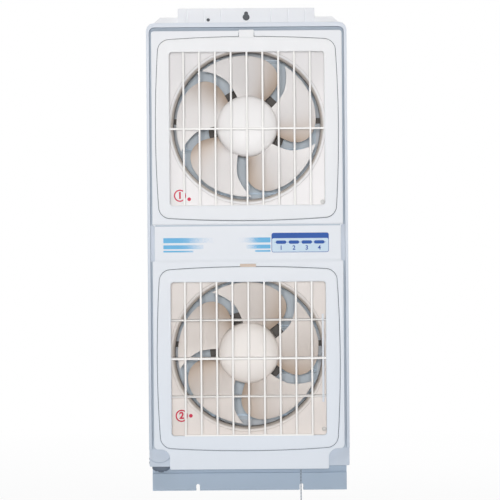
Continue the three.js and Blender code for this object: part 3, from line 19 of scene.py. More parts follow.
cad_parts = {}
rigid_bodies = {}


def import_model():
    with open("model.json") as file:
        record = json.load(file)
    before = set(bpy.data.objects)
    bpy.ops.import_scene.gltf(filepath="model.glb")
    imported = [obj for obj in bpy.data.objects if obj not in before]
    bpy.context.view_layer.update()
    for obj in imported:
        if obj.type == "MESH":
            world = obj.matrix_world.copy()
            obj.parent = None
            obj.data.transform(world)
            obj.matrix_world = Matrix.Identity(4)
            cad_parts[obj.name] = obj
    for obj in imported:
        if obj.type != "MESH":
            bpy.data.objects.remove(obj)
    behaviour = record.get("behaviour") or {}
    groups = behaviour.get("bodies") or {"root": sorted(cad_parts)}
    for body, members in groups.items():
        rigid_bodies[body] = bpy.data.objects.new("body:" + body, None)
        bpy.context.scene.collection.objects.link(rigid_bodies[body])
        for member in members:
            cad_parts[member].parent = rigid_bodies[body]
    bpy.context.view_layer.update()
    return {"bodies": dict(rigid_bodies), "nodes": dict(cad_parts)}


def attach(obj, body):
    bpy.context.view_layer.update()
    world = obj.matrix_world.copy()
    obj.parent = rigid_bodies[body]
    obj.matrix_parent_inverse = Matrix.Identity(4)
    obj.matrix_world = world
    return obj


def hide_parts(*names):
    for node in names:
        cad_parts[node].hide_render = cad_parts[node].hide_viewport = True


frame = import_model()
nodes = frame["nodes"]
MM = 0.001

# %% [markdown]
# ## The camera and the pull cord
#
# The photograph was taken from far off with a long lens, so the sides of the casing stay
# almost parallel. A camera 3.4 m away with a long focal length gives that look. The whole
# fan leans by under half a degree, and a small roll of the camera copies it.

# %% Camera
def placed(name, data):
    """A new object in the scene."""
    obj = bpy.data.objects.new(name, data)
    bpy.context.scene.collection.objects.link(obj)
    return obj


CAMERA_DISTANCE = 3.4                     # metres from the front plane
FRONT_PLANE_Y = -0.050
VIEW_MIDDLE_X, VIEW_MIDDLE_Z = 0.0029, 0.3391
VIEW_WIDTH = 0.6975                       # metres across the picture at the front plane
LEAN_DEG = 0.444
SENSOR_MM = 36.0
LENS_MM = SENSOR_MM * CAMERA_DISTANCE / VIEW_WIDTH

camera_data = bpy.data.cameras.new("portrait_camera")
camera_data.lens = LENS_MM
camera_data.sensor_width = SENSOR_MM
camera = placed("portrait_camera", camera_data)
camera.location = (VIEW_MIDDLE_X, FRONT_PLANE_Y - CAMERA_DISTANCE, VIEW_MIDDLE_Z)
lean = Matrix.Rotation(math.radians(LEAN_DEG), 4, "Y")
upright = Matrix.Rotation(math.radians(90), 4, "X")
camera.rotation_euler = (lean @ upright).to_euler()
bpy.context.scene.camera = camera
print("lens:", round(LENS_MM, 1), "mm")

# %% [markdown]
# The cord hangs straight from the lever of the pull switch, through an eyelet under the
# casing. A curve with a round bevel is the natural way to make it: its own line is the
# centreline, and the weave is left to the material.

# %% Pull cord
CORD_X, CORD_Y = 0.072, -0.028
CORD_TOP_Z, CORD_END_Z = 0.056, -0.072
CORD_DIAMETER = 0.0016
cord_points = [(CORD_X, CORD_Y, z) for z in np.linspace(CORD_TOP_Z, CORD_END_Z, 24)]
cord_curve = bpy.data.curves.new("pull_cord_line", "CURVE")
cord_curve.dimensions = "3D"
cord_spline = cord_curve.splines.new("POLY")
cord_spline.points.add(len(cord_points) - 1)
for spline_point, place in zip(cord_spline.points, cord_points):
    spline_point.co = (*place, 1.0)
cord_curve.bevel_depth = CORD_DIAMETER / 2
cord_curve.bevel_resolution = 4
cord_curve.use_fill_caps = True
pull_cord = placed("braided_pull_cord", cord_curve)

# %% [markdown]
# ## Shader groups
#
# Three effects come back in several finishes, so each is a node group that is built once:
# the fine grain of moulded plastic, a slow cloud of tone that keeps a big panel from looking
# like paper, and a tint that follows a position, such as the warm shade deep in the duct.

# %% Helpers for node trees
def new_node(tree, kind, **settings):
    """A shader node, such as TexNoise, with attributes or input values set by name."""
    node = tree.nodes.new("ShaderNode" + kind)
    for key, value in settings.items():
        if hasattr(node, key):
            setattr(node, key, value)
        else:
            node.inputs[key.replace("_", " ")].default_value = value
    return node


def wire(tree, *links):
    """Links nodes of a tree; each link is (node, output, node, input)."""
    for source, output, target, entry in links:
        tree.links.new(source.outputs[output], target.inputs[entry])


def shader_group(name, inputs, outputs):
    """A node group with named sockets. inputs: (name, kind, default); outputs: (name, kind)."""
    group = bpy.data.node_groups.new(name, "ShaderNodeTree")
    for title, kind, default in inputs:
        socket = group.interface.new_socket(name=title, in_out="INPUT", socket_type=kind)
        socket.default_value = default
    for title, kind in outputs:
        group.interface.new_socket(name=title, in_out="OUTPUT", socket_type=kind)
    start = group.nodes.new("NodeGroupInput")
    end = group.nodes.new("NodeGroupOutput")
    return group, start, end


FLOAT, COLOUR = "NodeSocketFloat", "NodeSocketColor"

# %% Moulded grain group
grain_group, start, end = shader_group(
    "moulded_grain",
    [("Grain Scale", FLOAT, 900.0), ("Flow Scale", FLOAT, 14.0), ("Flow Share", FLOAT, 0.3)],
    [("Height", FLOAT)])
place = new_node(grain_group, "TexCoord")
fine = new_node(grain_group, "TexNoise", Detail=2.0, Roughness=0.6)
flow = new_node(grain_group, "TexNoise", Detail=1.0, Roughness=0.4)
blend = new_node(grain_group, "Mix", data_type="FLOAT")
wire(grain_group, (place, "Object", fine, "Vector"), (place, "Object", flow, "Vector"),
     (start, "Grain Scale", fine, "Scale"), (start, "Flow Scale", flow, "Scale"),
     (start, "Flow Share", blend, 0), (fine, "Fac", blend, 2), (flow, "Fac", blend, 3),
     (blend, 0, end, "Height"))

# %% Cloud of tone group
cloud_group, start, end = shader_group(
    "cloud_of_tone",
    [("Base", COLOUR, (0.8, 0.8, 0.8, 1)), ("Shade", COLOUR, (0.7, 0.7, 0.7, 1)),
     ("Scale", FLOAT, 6.0), ("Amount", FLOAT, 0.3)],
    [("Color", COLOUR), ("Mask", FLOAT)])
place = new_node(cloud_group, "TexCoord")
cloud = new_node(cloud_group, "TexNoise", Detail=3.0, Roughness=0.55)
spread = new_node(cloud_group, "MapRange", From_Min=0.35, From_Max=0.65)
share = new_node(cloud_group, "Math", operation="MULTIPLY")
mix = new_node(cloud_group, "Mix", data_type="RGBA")
wire(cloud_group, (place, "Object", cloud, "Vector"), (start, "Scale", cloud, "Scale"),
     (cloud, "Fac", spread, "Value"), (spread, 0, share, 0), (start, "Amount", share, 1),
     (share, 0, mix, 0), (start, "Base", mix, 6), (start, "Shade", mix, 7),
     (mix, 2, end, "Color"), (share, 0, end, "Mask"))

# %% Tint along an axis group
depth_group, start, end = shader_group(
    "tint_along_axis",
    [("Near Color", COLOUR, (0.8, 0.8, 0.8, 1)), ("Far Color", COLOUR, (0.5, 0.4, 0.3, 1)),
     ("Axis X", FLOAT, 0.0), ("Axis Y", FLOAT, 1.0), ("Axis Z", FLOAT, 0.0),
     ("Near", FLOAT, 0.0), ("Far", FLOAT, 0.02)],
    [("Color", COLOUR), ("Mask", FLOAT)])
place = new_node(depth_group, "TexCoord")
direction = new_node(depth_group, "CombineXYZ")
along = new_node(depth_group, "VectorMath", operation="DOT_PRODUCT")
ramp = new_node(depth_group, "MapRange", interpolation_type="SMOOTHSTEP")
mix = new_node(depth_group, "Mix", data_type="RGBA")
wire(depth_group, *((start, f"Axis {axis}", direction, axis) for axis in "XYZ"),
     (place, "Object", along, 0), (direction, 0, along, 1), (along, "Value", ramp, "Value"),
     (start, "Near", ramp, "From Min"), (start, "Far", ramp, "From Max"), (ramp, 0, mix, 0),
     (start, "Near Color", mix, 6), (start, "Far Color", mix, 7),
     (mix, 2, end, "Color"), (ramp, 0, end, "Mask"))
print("groups:", [g.name for g in bpy.data.node_groups])

# %% [markdown]
# ## Finishes
#
# A moulded finish is a Principled shader with a cloud of tone for its colour and the grain
# group as the height of a bump. Colours are written as they look on screen and turned into
# the linear values that the shader wants.

# %% Finish helpers
def seen(red, green, blue):
    """A colour given as 0-255 screen values, as linear RGBA."""
    def linear(value):
        value /= 255
        return value / 12.92 if value <= 0.04045 else ((value + 0.055) / 1.055) ** 2.4
    return (linear(red), linear(green), linear(blue), 1.0)


def group_node(tree, group, **values):
    """Places a shader group in a material and sets its inputs."""
    return new_node(tree, "Group", node_tree=group, **values)


def bare_material(name, roughness, metallic=0.0):
    """A new material, its node tree and its Principled shader."""
    material = bpy.data.materials.new(name)
    material.use_nodes = True
    surface = material.node_tree.nodes["Principled BSDF"]
    surface.inputs["Roughness"].default_value = roughness
    surface.inputs["Metallic"].default_value = metallic
    return material, material.node_tree, surface


# %% Moulded finish
GRAIN_DEPTH, GRAIN_STRENGTH = 0.00012, 0.6
CLOUD_SHARE = 0.35


def grained(name, roughness, metallic=0.0):
    """A material with the grain of a moulding, whose colour is still to be linked."""
    material, tree, surface = bare_material(name, roughness, metallic)
    grain = group_node(tree, grain_group)
    bump = new_node(tree, "Bump", Distance=GRAIN_DEPTH, Strength=GRAIN_STRENGTH)
    wire(tree, (grain, "Height", bump, "Height"), (bump, "Normal", surface, "Normal"))
    return material, tree, surface


def moulded(name, base, shade, roughness, cloud_scale, metallic=0.0):
    """A moulded or painted finish with a slow cloud of tone."""
    material, tree, surface = grained(name, roughness, metallic)
    tone = group_node(tree, cloud_group, Base=base, Shade=shade, Scale=cloud_scale,
                      Amount=CLOUD_SHARE)
    wire(tree, (tone, "Color", surface, "Base Color"))
    return material


# %% Finishes of the casing
housing_grey = moulded("housing_grey", seen(238, 243, 249), seen(230, 237, 244), 0.5, 6.0)
# painted shade: the ledges are dark grey for the shade in the seam round each grille
seam_shade_grey = moulded("seam_shade_grey", seen(96, 104, 114), seen(84, 92, 102), 0.6, 30.0)
step_grey = moulded("step_grey", seen(184, 194, 207), seen(180, 190, 203), 0.5, 30.0)
# painted shade for the groove beside the panel
groove_shade_grey = moulded("groove_shade_grey", seen(186, 197, 209), seen(178, 189, 202), 0.5, 30.0)
# painted shade: a warm tan for the shade inside the finger slot
slot_shade_tan = moulded("slot_shade_tan", seen(216, 196, 180), seen(205, 184, 166), 0.5, 40.0)
bar_white = moulded("bar_white", seen(253, 251, 248), seen(248, 244, 240), 0.34, 20.0)
# painted light: paler than the shutter's own blue-grey, for the slats deep in the housing
lit_slat_blue = moulded("lit_slat_blue", seen(234, 245, 254), seen(226, 239, 250), 0.5, 9.0)
shutter_blue = moulded("shutter_blue", seen(184, 201, 214), seen(174, 192, 206), 0.5, 9.0)
bracket_blue = moulded("bracket_blue", seen(172, 188, 205), seen(152, 172, 192), 0.5, 8.0)
knob_blue = moulded("knob_blue", seen(92, 105, 122), seen(80, 92, 110), 0.35, 30.0)
# the dark plastic of the switch and small parts, and painted shade on the pads behind the top
# plate's holes
dark_plastic = moulded("dark_plastic", seen(66, 70, 76), seen(54, 58, 64), 0.5, 30.0)
screw_paint = moulded("screw_paint", seen(226, 226, 224), seen(208, 208, 206), 0.35, 60.0)
print("plain mouldings:", len(bpy.data.materials))

# %% Finishes of the motors and of the print
motor_black = moulded("motor_black", seen(58, 50, 44), seen(44, 38, 34), 0.45, 25.0, 0.2)
winding_copper = moulded("winding_copper", seen(170, 104, 58), seen(120, 70, 40), 0.4, 90.0, 0.6)
bright_steel = moulded("bright_steel", seen(196, 200, 204), seen(176, 180, 186), 0.28, 40.0, 0.9)
bearing_bronze = moulded("bearing_bronze", seen(168, 134, 84), seen(140, 108, 66), 0.35, 60.0,
                         0.85)
legend_blue = moulded("legend_blue", seen(26, 84, 168), seen(22, 74, 156), 0.6, 20.0)
legend_light = moulded("legend_light", seen(214, 232, 246), seen(204, 226, 243), 0.6, 20.0)
legend_red = moulded("legend_red", seen(226, 44, 84), seen(216, 36, 76), 0.6, 60.0)

# %% [markdown]
# The tray, the panel and the grilles look darker towards the foot, where less of the light from
# above falls. Lamps that fall off so much would darken the small pieces too, so these finishes
# carry painted shade instead: a tint that follows the height.

# %% Finishes with painted shade towards the foot
SHADE_TOP_Z, SHADE_FOOT_Z = 0.62, 0.04      # metres


def darker_below(name, light, deep, roughness):
    """A grained finish with painted shade: light at the top of the casing and deep at its foot.
    """
    material, tree, surface = grained(name, roughness)
    tint = group_node(tree, depth_group, Near_Color=deep, Far_Color=light, Axis_Y=0.0,
                      Axis_Z=1.0, Near=SHADE_FOOT_Z, Far=SHADE_TOP_Z)
    wire(tree, (tint, "Color", surface, "Base Color"))
    return material


frame_grey = darker_below("frame_grey", seen(218, 224, 233), seen(191, 201, 214), 0.42)
panel_white = darker_below("panel_white", seen(242, 243, 246), seen(229, 235, 243), 0.5)
grille_white = darker_below("grille_white", seen(248, 248, 249), seen(233, 239, 247), 0.55)

# %% [markdown]
# The propellers and the duct round them are ivory. Deep in the fan the ivory looks warm and
# brownish in the shade, and the ivory finish paints that shade in as a tint along the fan's
# axis.

# %% Ivory finish
def ivory(name, depths, crown, light, deep):
    """Moulded ivory in three tones of painted shade, darker and warmer with depth; depths are
    the four ends of its two ramps along Y.
    """
    material, tree, surface = grained(name, 0.42)
    rim = group_node(tree, depth_group, Near_Color=crown, Far_Color=light,
                     Near=depths[0], Far=depths[1])
    tint = group_node(tree, depth_group, Far_Color=deep, Near=depths[2], Far=depths[3])
    wire(tree, (rim, "Color", tint, "Near Color"), (tint, "Color", surface, "Base Color"))
    return material


# Painted shade: the crown tone is the hub's lit front. The other tones are the same ivory in the
# shade deep in the fan. The lower fan's tones are warmer and darker than the upper fan's.
CROWN_TONE = {"upper": seen(250, 248, 247), "lower": seen(251, 246, 242)}
BLADE_TONE = {"upper": seen(243, 239, 237), "lower": seen(240, 232, 226)}
DUCT_TONE = {"upper": seen(253, 252, 253), "lower": seen(251, 245, 241)}
DEEP_SHADE = seen(216, 192, 170)
MOUTH_SHADE, THROAT_SHADE = seen(196, 188, 180), seen(158, 152, 148)
blade_ivory, duct_ivory, mouth_ivory = {}, {}, {}
for side in CROWN_TONE:
    blade_ivory[side] = ivory(f"{side}_blade_ivory", (-0.0076, -0.0024, 0.002, 0.024),
                              CROWN_TONE[side], BLADE_TONE[side], DEEP_SHADE)
    duct_ivory[side] = ivory(f"{side}_duct_ivory", (-0.034, -0.020, -0.0078, 0.002),
                             DUCT_TONE[side], DUCT_TONE[side], DEEP_SHADE)
    mouth_ivory[side] = ivory(f"{side}_mouth_ivory", (-0.0082, -0.0066, -0.0060, -0.001),
                              DUCT_TONE[side], MOUTH_SHADE, THROAT_SHADE)

# %% [markdown]
# Pull cords of this kind are braided. The weave is too fine to model, so two crossed sets of
# bands make both its tone and its bump.

# %% Cord finish
def two_tones(tree, first, second):
    """A mix of two colours, whose share is still to be linked to input 0."""
    mix = new_node(tree, "Mix", data_type="RGBA")
    mix.inputs[6].default_value, mix.inputs[7].default_value = first, second
    return mix


cord_braid, tree, surface = bare_material("cord_braid", 0.8)
place = new_node(tree, "TexCoord")
bands = [new_node(tree, "TexWave", wave_type="BANDS", bands_direction="DIAGONAL", Scale=140.0)
         for _ in range(2)]
flip = new_node(tree, "Mapping", Rotation=(0.0, math.radians(90), 0.0))
weave = new_node(tree, "Math", operation="MAXIMUM")
mix = two_tones(tree, seen(120, 130, 142), seen(176, 186, 196))
bump = new_node(tree, "Bump", Distance=0.0002, Strength=0.7)
wire(tree, (place, "Object", bands[0], "Vector"), (place, "Object", flip, "Vector"),
     (flip, 0, bands[1], "Vector"), (bands[0], "Fac", weave, 0), (bands[1], "Fac", weave, 1),
     (weave, 0, mix, 0), (mix, 2, surface, "Base Color"), (weave, 0, bump, "Height"),
     (bump, "Normal", surface, "Normal"))
print("finishes:", len(bpy.data.materials))

# %% [markdown]
# ## Ways to make a piece
#
# Four makers cover the whole fan. A moulded edge can be cut from the CAD solid itself: its
# flat faces are dissolved, its sharp edges bevelled. A turned piece is a profile swept round
# an axis. A lofted ring joins a stack of closed loops. A plate is a filled outline with
# holes, whose edges are rounded by moving the outline in while it goes back.

# %% Piece helpers
SHARP_DEG = 38.0                          # corners sharper than this stay crisp


def reworked(obj, change):
    """Opens the mesh of a piece, changes it and writes it back."""
    bm = bmesh.new()
    bm.from_mesh(obj.data)
    change(bm)
    bm.to_mesh(obj.data)
    bm.free()
    return obj


def crisp(obj, sharp_deg=SHARP_DEG):
    """Shades a piece smooth, apart from its sharp corners."""
    obj.data.shade_smooth()
    obj.data.set_sharp_from_angle(angle=math.radians(sharp_deg))
    return obj


def finish_mesh(obj, sharp_deg=SHARP_DEG):
    """Welds a piece, turns its faces outwards and shades it."""
    def weld(bm):
        bmesh.ops.remove_doubles(bm, verts=bm.verts, dist=1e-6)
        bmesh.ops.recalc_face_normals(bm, faces=bm.faces)
    return crisp(reworked(obj, weld), sharp_deg)


def even_shading(obj):
    """Lets big flat faces keep a flat shade next to their rounded edges."""
    weights = obj.modifiers.new("even_shading", "WEIGHTED_NORMAL")
    weights.keep_sharp = True
    weights.weight = 50
    return obj


# %% New pieces
def mesh_piece(name, points, faces):
    """A mesh object from points in metres and faces."""
    mesh = bpy.data.meshes.new(name)
    mesh.from_pydata([tuple(map(float, p)) for p in points], [], faces)
    mesh.update()
    return placed(name, mesh)


def piece_from(bm, name):
    """A mesh object from a bmesh, which is freed."""
    mesh = bpy.data.meshes.new(name)
    bm.to_mesh(mesh)
    bm.free()
    return placed(name, mesh)


def dress(obj, finish, slot, body, *replaced):
    """Gives a piece its finish and its body, and hides the CAD nodes it stands for; slot is not
    used.
    """
    obj.data.materials.append(finish)
    if replaced:
        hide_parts(*replaced)
    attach(obj, body)
    return obj


# %% Softened edges
EDGE_STEPS, CORNER_DEG, FLAT_DEG = 2, 42.0, 0.8
FOLD_LIMIT = 0.2                          # square mm


def folded_area(bm):
    """The largest area by which a many-sided face folds over itself, in square mm."""
    worst = 0.0
    for face in bm.faces:
        if len(face.verts) > 4:
            corners = [v.co for v in face.verts]
            covered = sum((corners[j] - corners[i]).cross(corners[k] - corners[i]).length / 2
                          for i, j, k in tessellate_polygon([corners]))
            worst = max(worst, abs(covered - face.calc_area()) * 1e6)
    return worst


def softened(node, edge_mm):
    """A copy of a CAD solid with flat faces merged and its sharp edges rounded.

    Each try takes a smaller radius, and at each radius first all corners and then only the
    outward ones, until no face folds over itself.
    """
    tries = [(edge_mm * part, outward) for part in (1.0, 0.5, 0.25) for outward in (False, True)]
    for radius, outward in tries + [(0.0, True)]:
        bm = bmesh.new()
        bm.from_mesh(nodes[node].data)
        bmesh.ops.remove_doubles(bm, verts=bm.verts, dist=2e-6)
        bmesh.ops.dissolve_limit(bm, angle_limit=math.radians(FLAT_DEG), verts=bm.verts,
                                 edges=bm.edges)
        sharp = [e for e in bm.edges if len(e.link_faces) == 2 and (e.is_convex or not outward)
                 and e.calc_face_angle(0.0) > math.radians(CORNER_DEG)]
        if radius:
            bmesh.ops.bevel(bm, geom=sharp, offset=radius * MM, segments=EDGE_STEPS,
                            profile=0.5, affect="EDGES", clamp_overlap=False)
        if not radius or folded_area(bm) < FOLD_LIMIT:
            break
        bm.free()
    print(f"{node}: edges of {radius:.2f} mm", "on outward corners" if outward else "")
    return even_shading(finish_mesh(piece_from(bm, f"{node}_moulding")))


# %% Turned and lofted pieces
def strip(a, b, count):
    """The faces between two loops of points, which start at a and b."""
    return [(a + k, a + (k + 1) % count, b + (k + 1) % count, b + k) for k in range(count)]


def lofted(name, loops):
    """Joins loops of equal length, and the last one to the first, into a closed piece."""
    count = len(loops[0])
    points = [p for loop in loops for p in loop]
    faces = []
    for i in range(len(loops)):
        faces += strip(i * count, (i + 1) % len(loops) * count, count)
    return finish_mesh(mesh_piece(name, points, faces))


def turned(name, profile, centre, axis="Y", steps=96):
    """A profile of (radius, height) in mm, swept round an axis through centre, in metres."""
    loops = []
    for radius, height in profile:
        loop = []
        for k in range(steps):
            angle = 2 * math.pi * k / steps
            u, v = radius * MM * math.cos(angle), radius * MM * math.sin(angle)
            loop.append((centre[0] + u, height * MM, centre[2] + v) if axis == "Y"
                        else (centre[0] + u, centre[1] + v, height * MM))
        loops.append(loop)

    def clean(bm):
        bmesh.ops.dissolve_degenerate(bm, dist=1e-7, edges=bm.edges)
        bmesh.ops.recalc_face_normals(bm, faces=bm.faces)
    return crisp(reworked(lofted(name, loops), clean))


# %% Plates from filled outlines
def moved_in(loop, distance):
    """A closed outline moved sideways, into the material, by a distance."""
    points = np.array(loop, float)
    ahead = np.roll(points, -1, 0) - points
    ahead /= np.linalg.norm(ahead, axis=1)[:, None]
    behind = np.roll(ahead, 1, 0)
    total = ahead + behind
    side = np.stack([-total[:, 1], total[:, 0]], 1)
    return points + side * distance / (1 + (ahead * behind).sum(1))[:, None]


def crossings(spot, starts, ends):
    """How many edges lie to the right of a spot: an odd number means it is in the material."""
    spans = (starts[:, 1] > spot.y) != (ends[:, 1] > spot.y)
    a, b = starts[spans], ends[spans]
    return int((a[:, 0] + (spot.y - a[:, 1]) * (b - a)[:, 0] / (b - a)[:, 1] > spot.x).sum())


def plate(name, outlines, front_mm, back_mm, edge_mm, steps=3):
    """A flat piece with round edges between two depths.

    The outlines are in mm in the X-Z plane: the first runs counter-clockwise and is the
    outside, and the others run clockwise and are holes.
    """
    loops = []
    for outline in outlines:
        gaps = np.linalg.norm(np.array(outline) - np.roll(outline, 1, 0), axis=1)
        loops.append([p for p, gap in zip(outline, gaps) if gap > 1e-4])
    bend = [(edge_mm * (1 - math.sin(a)), edge_mm * (1 - math.cos(a)))
            for a in np.linspace(0, math.pi / 2, steps + 1)]
    rings = [(inset, front_mm + deep) for inset, deep in bend]
    rings += [(inset, back_mm - deep) for inset, deep in reversed(bend)]
    total = sum(len(loop) for loop in loops)
    points, faces, edges, first = [], [], [], 0
    for inset, y in rings:
        for loop in loops:
            points += [(x * MM, y * MM, z * MM) for x, z in moved_in(loop, inset)]
    for loop in loops:
        count = len(loop)
        edges += [(first + k, first + (k + 1) % count) for k in range(count)]
        for layer in range(len(rings) - 1):
            faces += strip(layer * total + first, (layer + 1) * total + first, count)
        first += count
    triangles_inside = 1
    for layer in (0, len(rings) - 1):
        start, y = layer * total, rings[layer][1] * MM
        flat = [Vector((p[0] / MM, p[2] / MM)) for p in points[start:start + total]]
        filled = delaunay_2d_cdt(flat, edges, [], triangles_inside, 1e-5, True)
        starts = np.array([flat[i] for i, _ in edges])
        ends = np.array([flat[j] for _, j in edges])
        known = []
        for spot, sources in zip(filled[0], filled[3]):
            if not sources:                      # a crossing of two edges in a tight corner
                sources = [len(points) - start]
                points.append((spot.x * MM, y, spot.y * MM))
            known.append(start + sources[0])
        for triangle in filled[2]:
            middle = sum((filled[0][i] for i in triangle), Vector((0, 0))) / 3
            if crossings(middle, starts, ends) % 2:
                faces.append(tuple(known[i] for i in triangle))
    return even_shading(finish_mesh(mesh_piece(name, points, faces)))


def joined(name, *objects):
    """One object from several."""
    bm = bmesh.new()
    for obj in objects:
        bm.from_mesh(obj.data)
        bpy.data.objects.remove(obj)
    mesh = bpy.data.meshes.new(name)
    bm.to_mesh(mesh)
    return even_shading(crisp(piece_from(bm, name)))


# %% Outlines in the picture plane
def arc(cx, cz, radius, start_deg, end_deg, steps):
    """Points on an arc."""
    return [(cx + radius * math.cos(math.radians(a)), cz + radius * math.sin(math.radians(a)))
            for a in np.linspace(start_deg, end_deg, steps)]


def rectangle(x0, x1, z0, z1):
    """A plain rectangle, counter-clockwise."""
    return [(x0, z0), (x1, z0), (x1, z1), (x0, z1)]


def round_rect(x0, x1, z0, z1, radius, steps=8):
    """A rectangle with round corners, counter-clockwise."""
    return (arc(x1 - radius, z0 + radius, radius, -90, 0, steps)
            + arc(x1 - radius, z1 - radius, radius, 0, 90, steps)
            + arc(x0 + radius, z1 - radius, radius, 90, 180, steps)
            + arc(x0 + radius, z0 + radius, radius, 180, 270, steps))


def circle(cx, cz, radius, steps=96):
    """Points on a full circle."""
    return arc(cx, cz, radius, 0, 360 - 360 / steps, steps)


# %% [markdown]
# ## The grilles
#
# Each grille is a frame with swollen sides and a crowned face, crossed by nine upright bars
# and one level bar. The frame is a loft between the swollen outline and the straight opening,
# with matching points on both, so the crown can be drawn as a profile.

# %% Sizes of the grilles
GRILLE_HALF_W, GRILLE_HALF_H = 127.25, 128.0
GRILLE_BOW, GRILLE_CORNER_R = 3.5, 16.0
OPENING_HALF_W, OPENING_HALF_H, OPENING_CORNER_R = 108.0, 107.0, 4.0
GRILLE_FRONT_Y, GRILLE_BACK_Y = -52.4, -46.8
BAR_PITCH, BAR_WIDTH, BAR_COUNT = 22.1, 2.8, 9
BAR_FRONT_Y, BAR_BACK_Y = -51.5, -47.9
FANS = {"upper": {"grille": 508.6, "axis": 514.6, "gap": 47.6},
        "lower": {"grille": 187.6, "axis": 193.6, "gap": 39.4}}


SIDE_POINTS, CORNER_POINTS = 16, 10


def side_by_side(half_w, half_h, bow, radius):
    """A square outline with bowed sides, the same number of points whatever its size."""
    points = []
    for turn in range(4):
        reach, out = (half_w, half_h) if turn % 2 == 0 else (half_h, half_w)
        cos, sin = [(1, 0), (0, 1), (-1, 0), (0, -1)][turn]
        reach -= bow
        out -= bow
        local = [(t * (reach - radius), -out - bow * (1 - t * t))
                 for t in np.linspace(-1, 1, SIDE_POINTS)]
        local += [(reach - radius + radius * math.cos(math.radians(a)),
                   -out + radius + radius * math.sin(math.radians(a)))
                  for a in np.linspace(-90, 0, CORNER_POINTS + 2)[1:-1]]
        points += [(u * cos - v * sin, u * sin + v * cos) for u, v in local]
    return np.array(points)


# %% Grille frame and bars
def grille_frame(name, centre_z):
    """The crowned frame of a grille."""
    outer = side_by_side(GRILLE_HALF_W, GRILLE_HALF_H, GRILLE_BOW, GRILLE_CORNER_R)
    inner = side_by_side(OPENING_HALF_W, OPENING_HALF_H, 0.0, OPENING_CORNER_R)
    profile = [(0.0, GRILLE_BACK_Y), (0.0, -51.2), (0.01, -51.65), (0.03, -51.95), (0.07, -52.2),
               (0.14, -52.35), (0.3, GRILLE_FRONT_Y), (0.8, GRILLE_FRONT_Y), (0.92, -52.25),
               (0.975, -51.9), (1.0, -51.3), (1.0, -47.3), (0.97, GRILLE_BACK_Y)]
    loops = []
    for share, y in profile:
        flat = outer * (1 - share) + inner * share
        loops.append([(x * MM, y * MM, (z + centre_z) * MM) for x, z in flat])
    return even_shading(lofted(name, loops))


def grille_bars(name, centre_z):
    """Nine upright bars and the level bar, each with soft edges."""
    half, wide, tall = BAR_WIDTH / 2, OPENING_HALF_W + 2, OPENING_HALF_H + 2
    middles = [(i - (BAR_COUNT - 1) / 2) * BAR_PITCH for i in range(BAR_COUNT)]
    bars = [plate(f"{name}_{i}", [
        rectangle(x - half, x + half, centre_z - tall, centre_z + tall)],
        BAR_FRONT_Y, BAR_BACK_Y, 0.7, 2) for i, x in enumerate(middles)]
    bars.append(plate(f"{name}_level", [
        rectangle(-wide, wide, centre_z - half, centre_z + half)],
        BAR_FRONT_Y + 0.4, BAR_BACK_Y - 0.4, 0.7, 2))
    return joined(name, *bars)


for side, fan in FANS.items():
    frame_piece = grille_frame(f"{side}_grille_frame", fan["grille"])
    dress(frame_piece, grille_white, "grille_white", f"{side}_grille", f"{side}_grille")
    bars = grille_bars(f"{side}_grille_bars", fan["grille"])
    dress(bars, bar_white, "grille_white", f"{side}_grille")
    print(side, "grille faces:", len(frame_piece.data.polygons))

# %% [markdown]
# A finger pulls the upper grille by a tab at its top, and a fine level comb runs along the
# foot of the lower grille's opening. Both are small plates that ride with their grille.

# %% Tab and comb of the grilles
TAB_HALF, TAB_TOP_Z = 10.5, 646.4
TAB_FOOT = 125                            # mm above the grille's middle
COMB_FOOT_Z, COMB_TOP_Z = 79.4, 81.8
tab = plate("upper_grille_tab", [round_rect(
    -TAB_HALF, TAB_HALF, FANS["upper"]["grille"] + TAB_FOOT, TAB_TOP_Z, 1.2, 4)],
    -51.4, GRILLE_BACK_Y, 0.7)
dress(tab, grille_white, "grille_white", "upper_grille")
comb_half = (BAR_COUNT - 1) / 2 * BAR_PITCH + BAR_WIDTH / 2
comb = plate("lower_grille_comb", [round_rect(
    -comb_half, comb_half, COMB_FOOT_Z, COMB_TOP_Z, 0.6, 3)], -52.0, -50.4, 0.5)
dress(comb, bar_white, "grille_white", "lower_grille")
print("tab:", 2 * TAB_HALF, "mm wide, comb:", round(2 * comb_half, 1), "mm wide")

# %% [markdown]
# ## The front panel
#
# The panel is one thin moulding. Its outline steps in at the waist and at the skirt, and two
# swollen recesses hold the grilles. It is made of three layers: the face with its round
# edge, the side walls behind it, and the ledges that the grilles rest on.

# %% Outline of the panel
PANEL_HALF, WAIST_HALF, SKIRT_HALF = 133, 130, 111
PANEL_TOP_Z, WAIST_TOP_Z, WAIST_FOOT_Z = 645.3, 374, 324
SKIRT_TOP_Z, SKIRT_FOOT_Z = 61.5, 33.3
FILLET_POINTS = 8


def filleted(corners):
    """A closed outline whose corners (x, z, radius) are rounded."""
    points = []
    for i, (x, z, radius) in enumerate(corners):
        here = Vector((x, z))
        before = (Vector(corners[i - 1][:2]) - here).normalized()
        after = (Vector(corners[(i + 1) % len(corners)][:2]) - here).normalized()
        if radius <= 0:
            points.append((x, z))
            continue
        half = before.angle(after) / 2
        centre = here + (before + after).normalized() * radius / math.sin(half)
        start = here + before * radius / math.tan(half) - centre
        end = here + after * radius / math.tan(half) - centre
        sweep = start.angle_signed(end)
        for t in np.linspace(0, 1, FILLET_POINTS):
            turn = Matrix.Rotation(-sweep * t, 2)
            points.append(tuple(centre + turn @ start))
    return points


